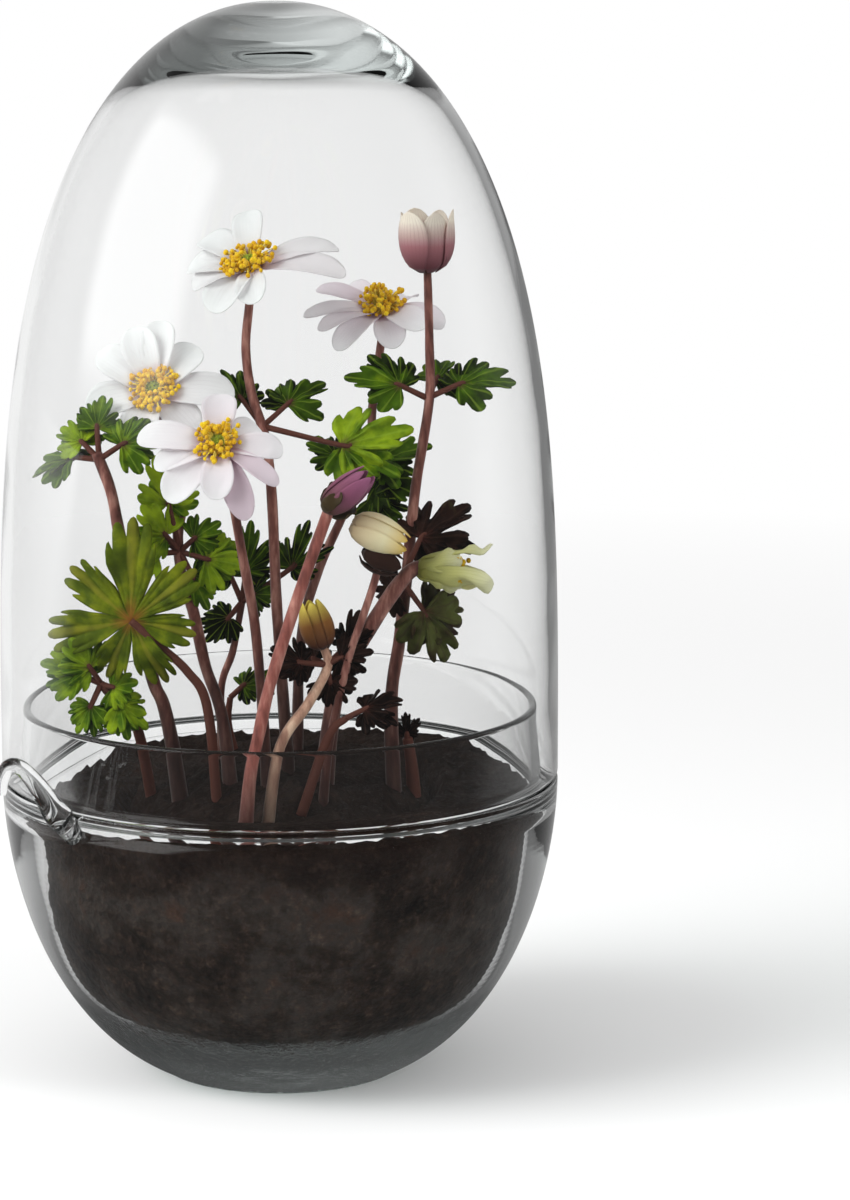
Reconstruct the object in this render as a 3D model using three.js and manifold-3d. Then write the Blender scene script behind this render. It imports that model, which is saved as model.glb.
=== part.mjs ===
// A mini greenhouse pot: a mouth-blown glass egg in two halves, planted with a small flowering plant.
// Lengths are millimetres and +Z is up. The origin is the centre of the flat foot, and -Y is the front.

import * as THREE from "three";
import { mergeVertices } from "three/addons/utils/BufferGeometryUtils.js";
import Module from "manifold-3d";

const wasm = await Module();
wasm.setup();

// Driving dimensions of the glass
const BODY_RADIUS = 70; // the widest point, at the seam between bowl and dome
const SEAM_HEIGHT = 75.5; // the flat ledge that the dome stands on
const TOTAL_HEIGHT = 268.5;
const FOOT_RADIUS = 29.5;
const BOWL_WALL = 3;
const BOWL_FLOOR = 10.5;
const SHOULDER_ROUND = 1.2; // outer edge of the ledge
const COLLAR_HEIGHT = 19; // upright ring inside the dome, above the ledge
const COLLAR_WALL = 1.9;
const COLLAR_SLACK = 3; // between the collar and the dome's wall
const COLLAR_FILLET = 2.5;
const THROAT_HEIGHT = 5.5; // the inner wall bends in to the collar over this height
const THROAT_DEPTH = 2; // glass under the ledge
const DOME_WALL = 2.4;
const DOME_APEX = 13; // the thick lens at the top of the dome
const LENS_RADIUS = 44; // the wall thickens inside this radius
const HOOK_BEARING = 224.5; // degrees round from +X, at the left front
const HOOK_RADII = [3.2, 3.2, 2.6, 2.1, 1.9, 1.9, 1.8, 1.5];

// Driving dimensions of the filling
const SOIL_DROP = 4.5; // soil surface below the ledge
const BALL_RADIUS = 38; // the root ball's mound, at the soil surface
const BALL_CROWN = 10;
const BALL_DEPTH = 26;
const BALL_FOOT = 29;
const LEAF_REACH = 63.5; // from the axis, to the tip of the widest leaf below
const PLANT_HEIGHT = 146.5; // from the soil surface to the top of the tallest bud below
const LEAF_THICKNESS = 0.9;
const PETIOLE_RADIUS = 0.8;
const SPREAD_ANGLE = 1.85; // radians each side of a leaf's midrib
const HUB_HEIGHT = 3; // the sleeve that a leaf whorl grips its stalk with
const DISC_RADII = [3.4, 2.6]; // the middle of a flower, above and below
const DISC_HEIGHT = 2.4;
const BRUSH_BASE = 2.2; // the foot of the stamens
const BRUSH_HEIGHT = 5;
const BRUSH_FOOT = 1.5; // height of the stamens' foot above the flower's disc
const BUD_FOOT = 2.6; // radius of a bud's foot, round its stalk

// Clearances
const SEAT_GAP = 0.3; // between pieces that rest on or grip each other
const SOIL_GAP = 0.45; // between the soil and the glass
const WALL_CLEARANCE = 4.1; // least, from a leaf tip to the dome's wall
const HEADROOM = 38; // from the tallest bud to the lens
const SLEEVE_WALL = 1.2; // least, of a whorl's sleeve round its stalk

// Facet counts
const ROUND = 40;
const STALK_SIDES = 6;
const STALK_STEPS = 9;
const PETIOLE_SIDES = 4;
const LEAF_POINTS = 13;
const TEPAL_POINTS = 8;

// Worked out from the driving dimensions
const COLLAR_RADIUS = BODY_RADIUS - DOME_WALL - COLLAR_SLACK;
const COLLAR_BORE = COLLAR_RADIUS - COLLAR_WALL;
const SOIL_TOP = SEAM_HEIGHT - SOIL_DROP;
const THROAT_START = SEAM_HEIGHT - THROAT_DEPTH - THROAT_HEIGHT;
const REACH_SCALE = (BODY_RADIUS - DOME_WALL - WALL_CLEARANCE) / LEAF_REACH;
const HEIGHT_SCALE = (TOTAL_HEIGHT - DOME_APEX - HEADROOM - SOIL_TOP) / PLANT_HEIGHT;
const PLANT_SCALE = Math.min(REACH_SCALE, HEIGHT_SCALE);
const grown = (size) => size * PLANT_SCALE; // a size of the plant, in the space that the glass leaves it

// Materials
const finish = (color, roughness, extra = {}) =>
  new THREE.MeshStandardMaterial({ color, roughness, metalness: 0, ...extra });
const glass = finish("#e9f0ee", 0.05, { transparent: true, opacity: 0.35 });
const soil = finish("#33251c", 0.95);
const peat = finish("#3e2b20", 0.95);
const stem = finish("#6d4340", 0.6);
const pinkStem = finish("#b87878", 0.55);
const leafGreen = finish("#3f6b2a", 0.6);
const youngBrown = finish("#463428", 0.7);
const tepalWhite = finish("#f4f1ee", 0.6);
const stamenGold = finish("#dba624", 0.7);
const budPurple = finish("#a03b78", 0.6);
const budCream = finish("#ecdfb9", 0.6);
const budYellow = finish("#a9a63c", 0.6);

// Solids

// Turns a closed geometry into a solid. Triangles without area, as at a lathe's poles, are left out.
function solid(geometry) {
  const bare = geometry.clone();
  bare.deleteAttribute("normal");
  bare.deleteAttribute("uv");
  const merged = mergeVertices(bare, 1e-4);
  const index = merged.index.array;
  const vertProperties = Float32Array.from(merged.attributes.position.array);
  const triangles = [];
  let volume = 0;
  for (let i = 0; i < index.length; i += 3) {
    const [a, b, c] = [index[i], index[i + 1], index[i + 2]];
    if (a === b || b === c || c === a) continue;
    triangles.push([a, b, c]);
    const corner = (n) => new THREE.Vector3().fromArray(vertProperties, n * 3);
    volume += corner(a).dot(corner(b).cross(corner(c)));
  }
  const outward = triangles.map(([a, b, c]) => (volume < 0 ? [a, c, b] : [a, b, c]));
  const triVerts = Uint32Array.from(outward.flat());
  return new wasm.Manifold(new wasm.Mesh({ numProp: 3, vertProperties, triVerts }));
}

// The largest body of a cut solid, as a named mesh.
function piece(name, body, material) {
  const bodies = body.decompose();
  bodies.sort((a, b) => b.volume() - a.volume());
  const { vertProperties, triVerts } = bodies[0].getMesh();
  const geometry = new THREE.BufferGeometry();
  geometry.setAttribute("position", new THREE.BufferAttribute(Float32Array.from(vertProperties), 3));
  geometry.setIndex(new THREE.BufferAttribute(Uint32Array.from(triVerts), 1));
  const mesh = new THREE.Mesh(geometry, material);
  mesh.name = name;
  return mesh;
}

const joined = (bodies) => bodies.reduce((all, body) => all.add(body));

// A solid of revolution about Z, from [radius, height] points that start and end on the axis.
function turned(profile, sides = ROUND) {
  const points = profile.map(([r, z]) => new THREE.Vector2(r, z));
  return solid(new THREE.LatheGeometry(points, sides).rotateX(Math.PI / 2));
}

// A value along a list of evenly spread ones.
function along(values, t) {
  const place = Math.min(t, 1) * (values.length - 1);
  const i = Math.min(Math.floor(place), values.length - 2);
  return THREE.MathUtils.lerp(values[i], values[i + 1], place - i);
}

// A rod bent along a curve. Swelling it by a gap gives the space that a sleeve round it keeps free.
function rod(curve, radii, gap = 0, sides = STALK_SIDES, steps = STALK_STEPS) {
  const frames = curve.computeFrenetFrames(steps, false);
  const ends = gap > 0 ? 1 : 0;
  const rings = steps + 2 * ends;
  const geometry = new THREE.CylinderGeometry(1, 1, 1, sides, rings);
  const position = geometry.attributes.position;
  for (let i = 0; i < position.count; i++) {
    const ring = Math.round((position.getY(i) + 0.5) * rings) - ends;
    const step = THREE.MathUtils.clamp(ring, 0, steps);
    const radius = along(radii, step / steps) + gap;
    const point = curve.getPointAt(step / steps);
    point.addScaledVector(frames.tangents[step], (ring - step) * gap);
    point.addScaledVector(frames.normals[step], position.getX(i) * radius);
    point.addScaledVector(frames.binormals[step], position.getZ(i) * radius);
    position.setXYZ(i, point.x, point.y, point.z);
  }
  return solid(geometry);
}

// Points on a superellipse quadrant, from the pole, at 0, to the widest ring, at a right angle.
function superellipse(radius, height, roundness, fall, from, to, count) {
  const points = [];
  for (let i = 0; i <= count; i++) {
    const angle = THREE.MathUtils.lerp(from, to, i / count);
    const r = radius * Math.sin(angle) ** (2 / roundness);
    const h = height * Math.max(Math.cos(angle), 0) ** (2 / fall);
    points.push([r, h]);
  }
  return points;
}

// Points on an arc, with angles in degrees from +r towards +z.
function arc(r, z, radiusR, radiusZ, from, to, count) {
  const points = [];
  for (let i = 0; i <= count; i++) {
    const angle = THREE.MathUtils.degToRad(THREE.MathUtils.lerp(from, to, i / count));
    points.push([r + radiusR * Math.cos(angle), z + radiusZ * Math.sin(angle)]);
  }
  return points;
}

// The bowl

// The outer wall swells from the flat foot to the seam.
const BOWL_ROUNDNESS = 2.712;
const BOWL_FALL = 1.837;
function bowlOuter(top) {
  const footShare = FOOT_RADIUS / BODY_RADIUS;
  const depth = SEAM_HEIGHT / (1 - footShare ** BOWL_ROUNDNESS) ** (1 / BOWL_FALL);
  const from = Math.asin(footShare ** (BOWL_ROUNDNESS / 2));
  const to = Math.acos(((SEAM_HEIGHT - top) / depth) ** (BOWL_FALL / 2));
  const points = superellipse(BODY_RADIUS, depth, BOWL_ROUNDNESS, BOWL_FALL, from, to, 8);
  return points.map(([r, h]) => [r, SEAM_HEIGHT - h]);
}

// The inner wall, from the middle of the floor up to the throat. The soil fits it with a gap.
const CAVITY_ROUNDNESS = 6;
const CAVITY_FALL = 1.05;
function bowlInner(gap, top) {
  const radius = BODY_RADIUS - BOWL_WALL;
  const depth = SEAM_HEIGHT - BOWL_FLOOR;
  const to = Math.acos(((SEAM_HEIGHT - THROAT_START) / depth) ** (CAVITY_FALL / 2));
  const wall = superellipse(radius, depth, CAVITY_ROUNDNESS, CAVITY_FALL, 0, to, 8);
  const [lastR] = wall[wall.length - 1];
  const throat = arc(COLLAR_BORE, THROAT_START, lastR - COLLAR_BORE, THROAT_HEIGHT, 0, 90, 4);
  const points = [...wall.map(([r, h]) => [r, SEAM_HEIGHT - h]), ...throat.slice(1)];
  const overFloor = (z) => (z < SEAM_HEIGHT / 2 ? gap : 0);
  const fitted = points.map(([r, z]) => [Math.max(r - gap, 0), z + overFloor(z)]);
  const below = fitted.filter(([, z]) => z < top);
  const above = fitted[below.length];
  if (above === undefined) return below;
  const [r, z] = below[below.length - 1];
  return [...below, [THREE.MathUtils.lerp(r, above[0], (top - z) / (above[1] - z)), top]];
}

function makeBowl() {
  const rimRadius = COLLAR_WALL / 2;
  const rimHeight = SEAM_HEIGHT + COLLAR_HEIGHT - rimRadius;
  const shoulder = SEAM_HEIGHT - SHOULDER_ROUND;
  const filletRadius = COLLAR_RADIUS + COLLAR_FILLET;
  const filletHeight = SEAM_HEIGHT + COLLAR_FILLET;
  const profile = [
    [0, 0],
    ...bowlOuter(shoulder),
    ...arc(BODY_RADIUS - SHOULDER_ROUND, shoulder, SHOULDER_ROUND, SHOULDER_ROUND, 20, 90, 3),
    ...arc(filletRadius, filletHeight, COLLAR_FILLET, COLLAR_FILLET, 270, 180, 2),
    ...arc(COLLAR_RADIUS - rimRadius, rimHeight, rimRadius, rimRadius, 0, 180, 3),
    ...bowlInner(0, Infinity).reverse(),
  ];
  return turned(profile);
}

// The dome

const DOME_ROUNDNESS = 2.1;
const DOME_FALL = 3.166;
function domePoint(angle) {
  const height = TOTAL_HEIGHT - SEAM_HEIGHT;
  return superellipse(BODY_RADIUS, height, DOME_ROUNDNESS, DOME_FALL, angle, angle, 1)[0];
}

// The wall's thickness grows smoothly to the lens at the top.
function domeThickness(radius) {
  const share = THREE.MathUtils.smoothstep(LENS_RADIUS - radius, 0, LENS_RADIUS);
  return THREE.MathUtils.lerp(DOME_WALL, DOME_APEX, share);
}

function domeWall(inside) {
  const count = 11;
  const points = [];
  for (let i = 0; i <= count; i++) {
    const angle = (i / count) * (Math.PI / 2);
    const [r, h] = domePoint(angle);
    const [r1, h1] = domePoint(Math.max(angle - 0.01, 0));
    const [r2, h2] = domePoint(Math.min(angle + 0.01, Math.PI / 2));
    const length = Math.hypot(r2 - r1, h2 - h1);
    const depth = inside ? domeThickness(r) / length : 0;
    points.push([i === 0 ? 0 : r + (h2 - h1) * depth, SEAM_HEIGHT + h - (r2 - r1) * depth]);
  }
  return points;
}

function makeDome() {
  const rimRadius = DOME_WALL / 2;
  const rimHeight = SEAM_HEIGHT + SEAT_GAP + rimRadius;
  const aboveRim = ([, z]) => z > rimHeight + rimRadius;
  const rim = arc(BODY_RADIUS - rimRadius, rimHeight, rimRadius, rimRadius, 0, -180, 4);
  const profile = [
    ...domeWall(false).filter(aboveRim),
    ...rim,
    ...domeWall(true).filter(aboveRim).reverse(),
  ];
  return turned(profile);
}

// The hook

// Its foot is drawn from the bowl's shoulder, and its end curls over outside the dome. The points
// are [distance outside the body radius, height above the ledge].
const HOOK_PATH = [
  [-3, -5],
  [3.5, 1],
  [7, 6],
  [11, 11],
  [15, 14.4],
  [18, 14.6],
  [20, 11.9],
  [20.5, 8.4],
];

function makeHook(bowl) {
  const points = HOOK_PATH.map(([out, up]) => new THREE.Vector3(BODY_RADIUS + out, 0, SEAM_HEIGHT + up));
  const curl = rod(new THREE.CatmullRomCurve3(points), HOOK_RADII, 0, 10, 18);
  const turn = new THREE.Matrix4().makeRotationZ(THREE.MathUtils.degToRad(HOOK_BEARING));
  const hook = curl.transform(turn.elements);
  const liftPath = turned([
    [0, SEAM_HEIGHT],
    [BODY_RADIUS + 2 * SEAT_GAP, SEAM_HEIGHT],
    [BODY_RADIUS + 2 * SEAT_GAP, SEAM_HEIGHT + COLLAR_HEIGHT],
    [0, SEAM_HEIGHT + COLLAR_HEIGHT],
  ]);
  const bowlOutline = bowlOuter(SEAM_HEIGHT - SHOULDER_ROUND).map(([r, z]) => [r + SEAT_GAP, z]);
  const bowlSpace = turned([
    [0, -SEAT_GAP],
    ...bowlOutline,
    [BODY_RADIUS + SEAT_GAP, SEAM_HEIGHT],
    [0, SEAM_HEIGHT],
  ]);
  return hook.subtract(liftPath).subtract(bowlSpace).subtract(bowl);
}

// The root ball and the soil

// A low mound on a tapered plug. Swelling it by the seat gap gives its socket in the soil.
const MOUND_SHAPE = [
  [0, 1],
  [0.53, 0.8],
  [0.84, 0.4],
  [1, 0],
];
function ballShape(gap) {
  const mound = new THREE.SplineCurve(
    MOUND_SHAPE.map(([out, up]) => new THREE.Vector2(grown(BALL_RADIUS * out), grown(BALL_CROWN * up)))
  );
  const crown = mound.getPoints(7).map(({ x, y }) => [x === 0 ? 0 : x + gap, SOIL_TOP + y + gap]);
  const foot = SOIL_TOP - grown(BALL_DEPTH) - gap;
  return turned([...crown, [grown(BALL_FOOT) + gap, foot], [0, foot]], ROUND / 2);
}

function makeSoil() {
  return turned([...bowlInner(SOIL_GAP, SOIL_TOP), [0, SOIL_TOP]]).subtract(ballShape(SEAT_GAP));
}

// Everything below this surface is left free by the stalks.
const groundSpace = ballShape(SEAT_GAP).add(
  turned([
    [0, BOWL_FLOOR],
    [COLLAR_BORE, BOWL_FLOOR],
    [COLLAR_BORE, SOIL_TOP + SEAT_GAP],
    [0, SOIL_TOP + SEAT_GAP],
  ])
);

// Parts of the plant. Its points are [x, y, height above the soil surface].

const at = ([x, y, h]) => new THREE.Vector3(grown(x), grown(y), grown(h) + SOIL_TOP);
const through = (points) => new THREE.CatmullRomCurve3(points.map(at));

// Lays a geometry drawn in the XY plane along base to tip, with its upper side towards the normal.
function laid(geometry, base, tip, normal) {
  const forward = tip.clone().sub(base).normalize();
  const up = normal.clone().addScaledVector(forward, -normal.dot(forward)).normalize();
  const side = up.clone().cross(forward);
  const frame = new THREE.Matrix4().makeBasis(forward, side, up).setPosition(base);
  return solid(geometry.applyMatrix4(frame));
}

function sheet(outline) {
  const depth = grown(LEAF_THICKNESS);
  const geometry = new THREE.ExtrudeGeometry(new THREE.Shape(outline), { depth, bevelEnabled: false });
  return geometry.translate(0, 0, -depth / 2);
}

// A blade with rounded lobes, which notches part, on its short leaf stalk.
function lobedLeaf(node, { base, tip, width, normal = [0, -0.6, 0.8], lobes = 3, spread = SPREAD_ANGLE }) {
  const [from, to] = [at(base), at(tip)];
  const length = from.distanceTo(to);
  const outline = [];
  for (let i = 0; i < LEAF_POINTS; i++) {
    const turn = (i / (LEAF_POINTS - 1)) * 2 - 1;
    const notch = 0.5 - 0.5 * Math.cos(lobes * Math.PI * turn);
    const r = length * (1 - 0.35 * turn ** 2) * (1 - 0.28 * notch);
    outline.push(new THREE.Vector2(r * Math.cos(turn * spread), r * Math.sin(turn * spread)));
  }
  const widest = Math.max(...outline.map((point) => Math.abs(point.y)));
  outline.forEach((point) => (point.y *= grown(width) / 2 / widest));
  const blade = laid(sheet(outline), from, to, new THREE.Vector3(...normal));
  const inBlade = from.clone().lerp(to, 0.12);
  const petiole = new THREE.CatmullRomCurve3([at(node), from, inBlade]);
  const radius = grown(PETIOLE_RADIUS);
  return rod(petiole, [radius, radius], 0, PETIOLE_SIDES, 3).add(blade);
}

// A round blade carried at its middle, cut into lobes all the way round.
function palmateBlade({ centre, radius, lobes, normal }) {
  const outline = [];
  const count = lobes * 5;
  for (let i = 0; i < count; i++) {
    const angle = (i / count) * 2 * Math.PI;
    const r = grown(radius) * (0.8 + 0.2 * Math.cos(lobes * angle));
    outline.push(new THREE.Vector2(r * Math.cos(angle), r * Math.sin(angle)));
  }
  const middle = at(centre);
  const aside = middle.clone().add(new THREE.Vector3(1, 0, 0));
  return laid(sheet(outline), middle, aside, new THREE.Vector3(...normal));
}

// A short sleeve that grips a stalk, with leaves spreading from it.
function whorl({ node, grip, leaves }) {
  const hub = new THREE.CylinderGeometry(grip, grip, grown(HUB_HEIGHT), STALK_SIDES).rotateX(Math.PI / 2);
  const { x, y, z } = at(node);
  return joined([solid(hub.translate(x, y, z)), ...leaves.map((leaf) => lobedLeaf(node, leaf))]);
}

// An open flower: overlapping tepals round a small disc, and its brush of stamens.
function flowerFrame({ centre, normal }) {
  const turn = new THREE.Quaternion().setFromUnitVectors(
    new THREE.Vector3(0, 0, 1),
    new THREE.Vector3(...normal).normalize()
  );
  return new THREE.Matrix4().compose(at(centre), turn, new THREE.Vector3(1, 1, 1));
}

function brush(flower, gap) {
  const height = grown(BRUSH_HEIGHT) + 2 * gap;
  const [top, base] = [flower.brush, BRUSH_BASE].map((radius) => grown(radius) + gap);
  const shape = new THREE.CylinderGeometry(top, base, height, 12).rotateX(Math.PI / 2);
  shape.translate(0, 0, grown(BRUSH_FOOT) - gap + height / 2);
  return solid(shape.applyMatrix4(flowerFrame(flower)));
}

function tepals(flower) {
  const length = grown(flower.radius);
  const disc = new THREE.CylinderGeometry(...DISC_RADII.map(grown), grown(DISC_HEIGHT), 10);
  const parts = [solid(disc.rotateX(Math.PI / 2))];
  for (let k = 0; k < flower.count; k++) {
    const outline = [];
    for (let i = 0; i < TEPAL_POINTS; i++) {
      const angle = (i / TEPAL_POINTS) * 2 * Math.PI;
      const x = (length / 2) * (1.06 - Math.cos(angle));
      outline.push(new THREE.Vector2(x, (grown(flower.width) * Math.sin(angle)) / 2));
    }
    const turn = new THREE.Matrix4().makeRotationZ(((k + 0.5) / flower.count) * 2 * Math.PI);
    const tilt = new THREE.Matrix4().makeRotationY(-THREE.MathUtils.degToRad(flower.cup + (k % 2) * 5));
    parts.push(solid(sheet(outline).applyMatrix4(turn.multiply(tilt))));
  }
  return joined(parts).transform(flowerFrame(flower).elements).subtract(brush(flower, SEAT_GAP));
}

// A closed bud, swollen in the middle, with small bracts clasping its base.
function bud({ base, tip, radius, bracts = [] }) {
  const [from, to] = [at(base), at(tip)];
  const length = from.distanceTo(to);
  const waist = [0.45, 0.85, 1, 0.94, 0.72, 0.4].map((share, i) => [
    grown(radius) * share,
    (length * (i + 0.2)) / 6,
  ]);
  const turn = new THREE.Quaternion().setFromUnitVectors(
    new THREE.Vector3(0, 0, 1),
    to.clone().sub(from).normalize()
  );
  const frame = new THREE.Matrix4().compose(from, turn, new THREE.Vector3(1, 1, 1));
  const body = turned([[0, 0], [grown(BUD_FOOT), 0], ...waist, [0, length]], 10).transform(frame.elements);
  return joined([body, ...bracts.map((bract) => lobedLeaf(base, bract))]);
}

// The stalks: radii at the ground and at the tip, and their points from below the ground upwards
const stalks = {
  stalk_white_top: {
    radii: [1.7, 1.2],
    points: [
      [2.5, -12, 4],
      [1, -11, 27.5],
      [-0.5, -9, 50],
      [-1.5, -7, 75],
      [-3, -5, 89.5],
      [-6.5, -2, 100.5],
      [-8, 0, 111.5],
      [-7, 1, 124],
      [-6.5, 0, 131.5],
    ],
  },
  stalk_white_right: {
    radii: [1.5, 1.2],
    points: [
      [4, 4, 4],
      [5, 8, 36.5],
      [9.5, 12, 54],
      [17.5, 16, 71.5],
      [22.5, 18, 86.5],
      [23.5, 19, 96.5],
      [26.5, 19, 118.5],
    ],
  },
  stalk_white_left: {
    radii: [1.8, 1.3],
    points: [
      [-11.5, -18, 4],
      [-14, -17, 23],
      [-18, -14, 34.5],
      [-21, -11, 47.5],
      [-24, -8, 56],
      [-25, -6, 65.5],
      [-24, -4, 75.5],
      [-26.5, -1, 88],
      [-30, -2, 98],
      [-30.5, -3.5, 101],
    ],
  },
  stalk_white_front: {
    radii: [1.5, 1.2],
    points: [
      [-2.5, -20, 4],
      [-4, -21, 29.5],
      [-5.5, -22, 47.5],
      [-8, -23, 62.5],
      [-10.5, -24, 77.5],
      [-12.5, -24, 86],
      [-13.5, -25.6, 90.6],
    ],
  },
  stalk_tulip_bud: {
    radii: [2, 1.6, 1.2],
    points: [
      [28.5, -12, 0],
      [28, -11, 25],
      [30, -10, 40],
      [32, -9, 57.5],
      [34, -7, 77.5],
      [37.5, -4, 99.5],
      [37.5, -3, 114.5],
      [37, -2, 132.5],
    ],
  },
  stalk_purple_bud: {
    radii: [1.9, 1.6],
    material: pinkStem,
    points: [
      [-7.5, -40.5, -3],
      [-6, -40, 12.5],
      [-4, -38.5, 22],
      [-1, -35.5, 35],
      [6, -32, 56.5],
      [13.5, -30.2, 77.5],
    ],
  },
  stalk_yellow_bud: {
    radii: [1.5, 1.4],
    material: pinkStem,
    points: [
      [-2.5, -38.5, -3],
      [1, -37, 18.5],
      [8, -33, 29],
      [12.5, -28, 37],
      [11.5, -26, 42],
    ],
  },
  stalk_opening_bud: {
    radii: [2.3, 2.1],
    points: [
      [11, -20, 4],
      [14, -20, 27],
      [18, -21, 37],
      [25.5, -22, 50],
      [32, -22, 59],
      [36, -22, 61],
    ],
  },
  stalk_cream_bud: {
    radii: [1.2, 1.1],
    points: [
      [11, -28, 3],
      [13, -28, 18.5],
      [17.5, -28, 38.5],
      [21, -28, 49],
      [24.5, -27, 60],
      [25, -27, 67],
    ],
  },
  stalk_leafy_left: {
    radii: [2, 1.6],
    points: [
      [-23.5, -20, 2],
      [-27.5, -22, 24.5],
      [-30, -23, 31.5],
      [-32, -24, 40.5],
      [-35.5, -22, 55],
      [-38.5, -20, 69.5],
      [-40.5, -18, 79],
      [-44, -16, 88],
    ],
  },
  stalk_young: {
    radii: [1.2, 1],
    points: [
      [-14.5, 0, 4],
      [-15, 2, 25],
      [-12, 4, 35],
      [-9.5, 6, 48],
    ],
  },
};

// The open flowers
const flowers = {
  top: {
    stalk: "stalk_white_top",
    centre: [-6.5, 0, 132],
    normal: [-0.25, -0.45, 0.85],
    cup: 12,
  },
  right: {
    stalk: "stalk_white_right",
    centre: [26.5, 19, 119],
    normal: [0.1, -0.25, 0.96],
    cup: -8,
    width: 8,
  },
  left: {
    stalk: "stalk_white_left",
    centre: [-30.5, -4, 101.5],
    normal: [-0.1, -0.8, 0.6],
    cup: 4,
  },
  front: {
    stalk: "stalk_white_front",
    centre: [-13.5, -26, 91],
    normal: [-0.05, -0.7, 0.7],
    cup: 2,
  },
};
const FLOWER = { radius: 17.6, width: 11, count: 8, brush: 7 };

// The leaf whorls, each on its stalk
const whorls = {
  whorl_tulip: {
    stalk: "stalk_tulip_bud",
    node: [37, -4, 100],
    leaves: [
      { base: [34.5, -5, 102], tip: [19.5, -8, 107], width: 13, normal: [0, -0.75, 0.65] },
      { base: [40, -4, 102.5], tip: [57, -3, 106], width: 12, normal: [0.1, -0.6, 0.8] },
      { base: [38.5, -1, 102], tip: [42, 11, 109], width: 10, normal: [0, -0.5, 0.85] },
    ],
  },
  whorl_top: {
    stalk: "stalk_white_top",
    node: [-3.8, -4.3, 93],
    leaves: [
      { base: [-6.5, -3, 97], tip: [-15.5, 0.5, 106], width: 10 },
      { base: [-0.5, -3, 96], tip: [10, 4, 104], width: 13 },
      { base: [11, -8, 87], tip: [29.5, -13, 94], width: 16, normal: [0.1, -0.85, 0.5] },
    ],
  },
  whorl_right: {
    stalk: "stalk_white_right",
    node: [19.5, 17, 78],
    leaves: [
      { base: [22, 15.5, 79.5], tip: [34, 10, 87], width: 15 },
      { base: [21.5, 14.5, 75], tip: [29, 9, 66], width: 12, normal: [0.3, -0.8, -0.5] },
      { base: [16.5, 18, 80.5], tip: [8, 20, 86], width: 10 },
    ],
  },
  whorl_left: {
    stalk: "stalk_white_left",
    node: [-24.5, -7, 62],
    leaves: [
      { base: [-26, -8.5, 70], tip: [-29.5, -10.5, 85], width: 12, normal: [0.2, -0.95, 0.2] },
      { base: [-21, -9.5, 61], tip: [-9.5, -12, 60], width: 13, normal: [0, -0.9, 0.4] },
      { base: [-28, -5.5, 66], tip: [-37, -4, 65], width: 9 },
    ],
  },
  whorl_leafy_left: {
    stalk: "stalk_leafy_left",
    node: [-43.4, -16.3, 86.5],
    leaves: [
      { base: [-46.5, -15, 87.5], tip: [-60, -8, 84.5], width: 14 },
      { base: [-44.5, -14.5, 91], tip: [-43, -10, 101], width: 9, normal: [0, -0.9, 0.4] },
      { base: [-41, -17, 89.5], tip: [-28.5, -18.5, 93], width: 13, normal: [0, -0.8, 0.6] },
    ],
  },
  whorl_young: {
    stalk: "stalk_young",
    node: [-9.7, 5.8, 47],
    leaves: [
      { base: [-9, 5, 51], tip: [-7.5, 3, 66], width: 10, normal: [0, -1, 0.2] },
      { base: [-11.5, 5.5, 50.5], tip: [-15, 5, 62], width: 8, normal: [0, -1, 0.2] },
      { base: [1.5, 5, 52], tip: [6.5, 3, 66], width: 8, normal: [0, -1, 0.2] },
    ],
  },
  whorl_opening: {
    stalk: "stalk_opening_bud",
    node: [30.6, -22, 57.5],
    material: youngBrown,
    leaves: [
      { base: [31, -14.5, 63], tip: [44, -9, 73], width: 12, normal: [0, -0.8, 0.6] },
      { base: [33.5, -19, 54], tip: [41, -14, 39], width: 13, normal: [0.2, -0.9, 0.2] },
    ],
  },
  whorl_yellow: {
    stalk: "stalk_yellow_bud",
    node: [12.4, -27.8, 37.5],
    material: youngBrown,
    leaves: [
      { base: [16.5, -25.5, 39], tip: [18.5, -24, 46], width: 5 },
      { base: [8.5, -31, 37], tip: [3, -31, 41], width: 7 },
    ],
  },
};

// The buds, each on its stalk's tip
const buds = {
  bud_tulip: {
    stalk: "stalk_tulip_bud",
    base: [37, -2, 131],
    tip: [36.5, -2, 146.5],
    radius: 7.4,
    material: budCream,
  },
  bud_purple: {
    stalk: "stalk_purple_bud",
    base: [12, -30, 76],
    tip: [24, -32, 86.5],
    radius: 5,
    material: budPurple,
    bracts: [
      { base: [11, -29.5, 79], tip: [13, -29, 86], width: 6, normal: [-0.8, 0, 0.6] },
      { base: [9.5, -31, 75], tip: [7, -32, 69], width: 6, normal: [-0.8, -0.5, 0.2] },
    ],
  },
  bud_cream: {
    stalk: "stalk_cream_bud",
    base: [18.5, -26.5, 72.5],
    tip: [32, -28, 67],
    radius: 4.7,
    material: budCream,
  },
  bud_opening: {
    stalk: "stalk_opening_bud",
    base: [34, -22, 60.5],
    tip: [52.5, -21, 60],
    radius: 5.5,
    material: budCream,
  },
  bud_yellow: {
    stalk: "stalk_yellow_bud",
    base: [11.5, -26, 41],
    tip: [8, -25, 53],
    radius: 4.4,
    material: budYellow,
  },
};

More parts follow.
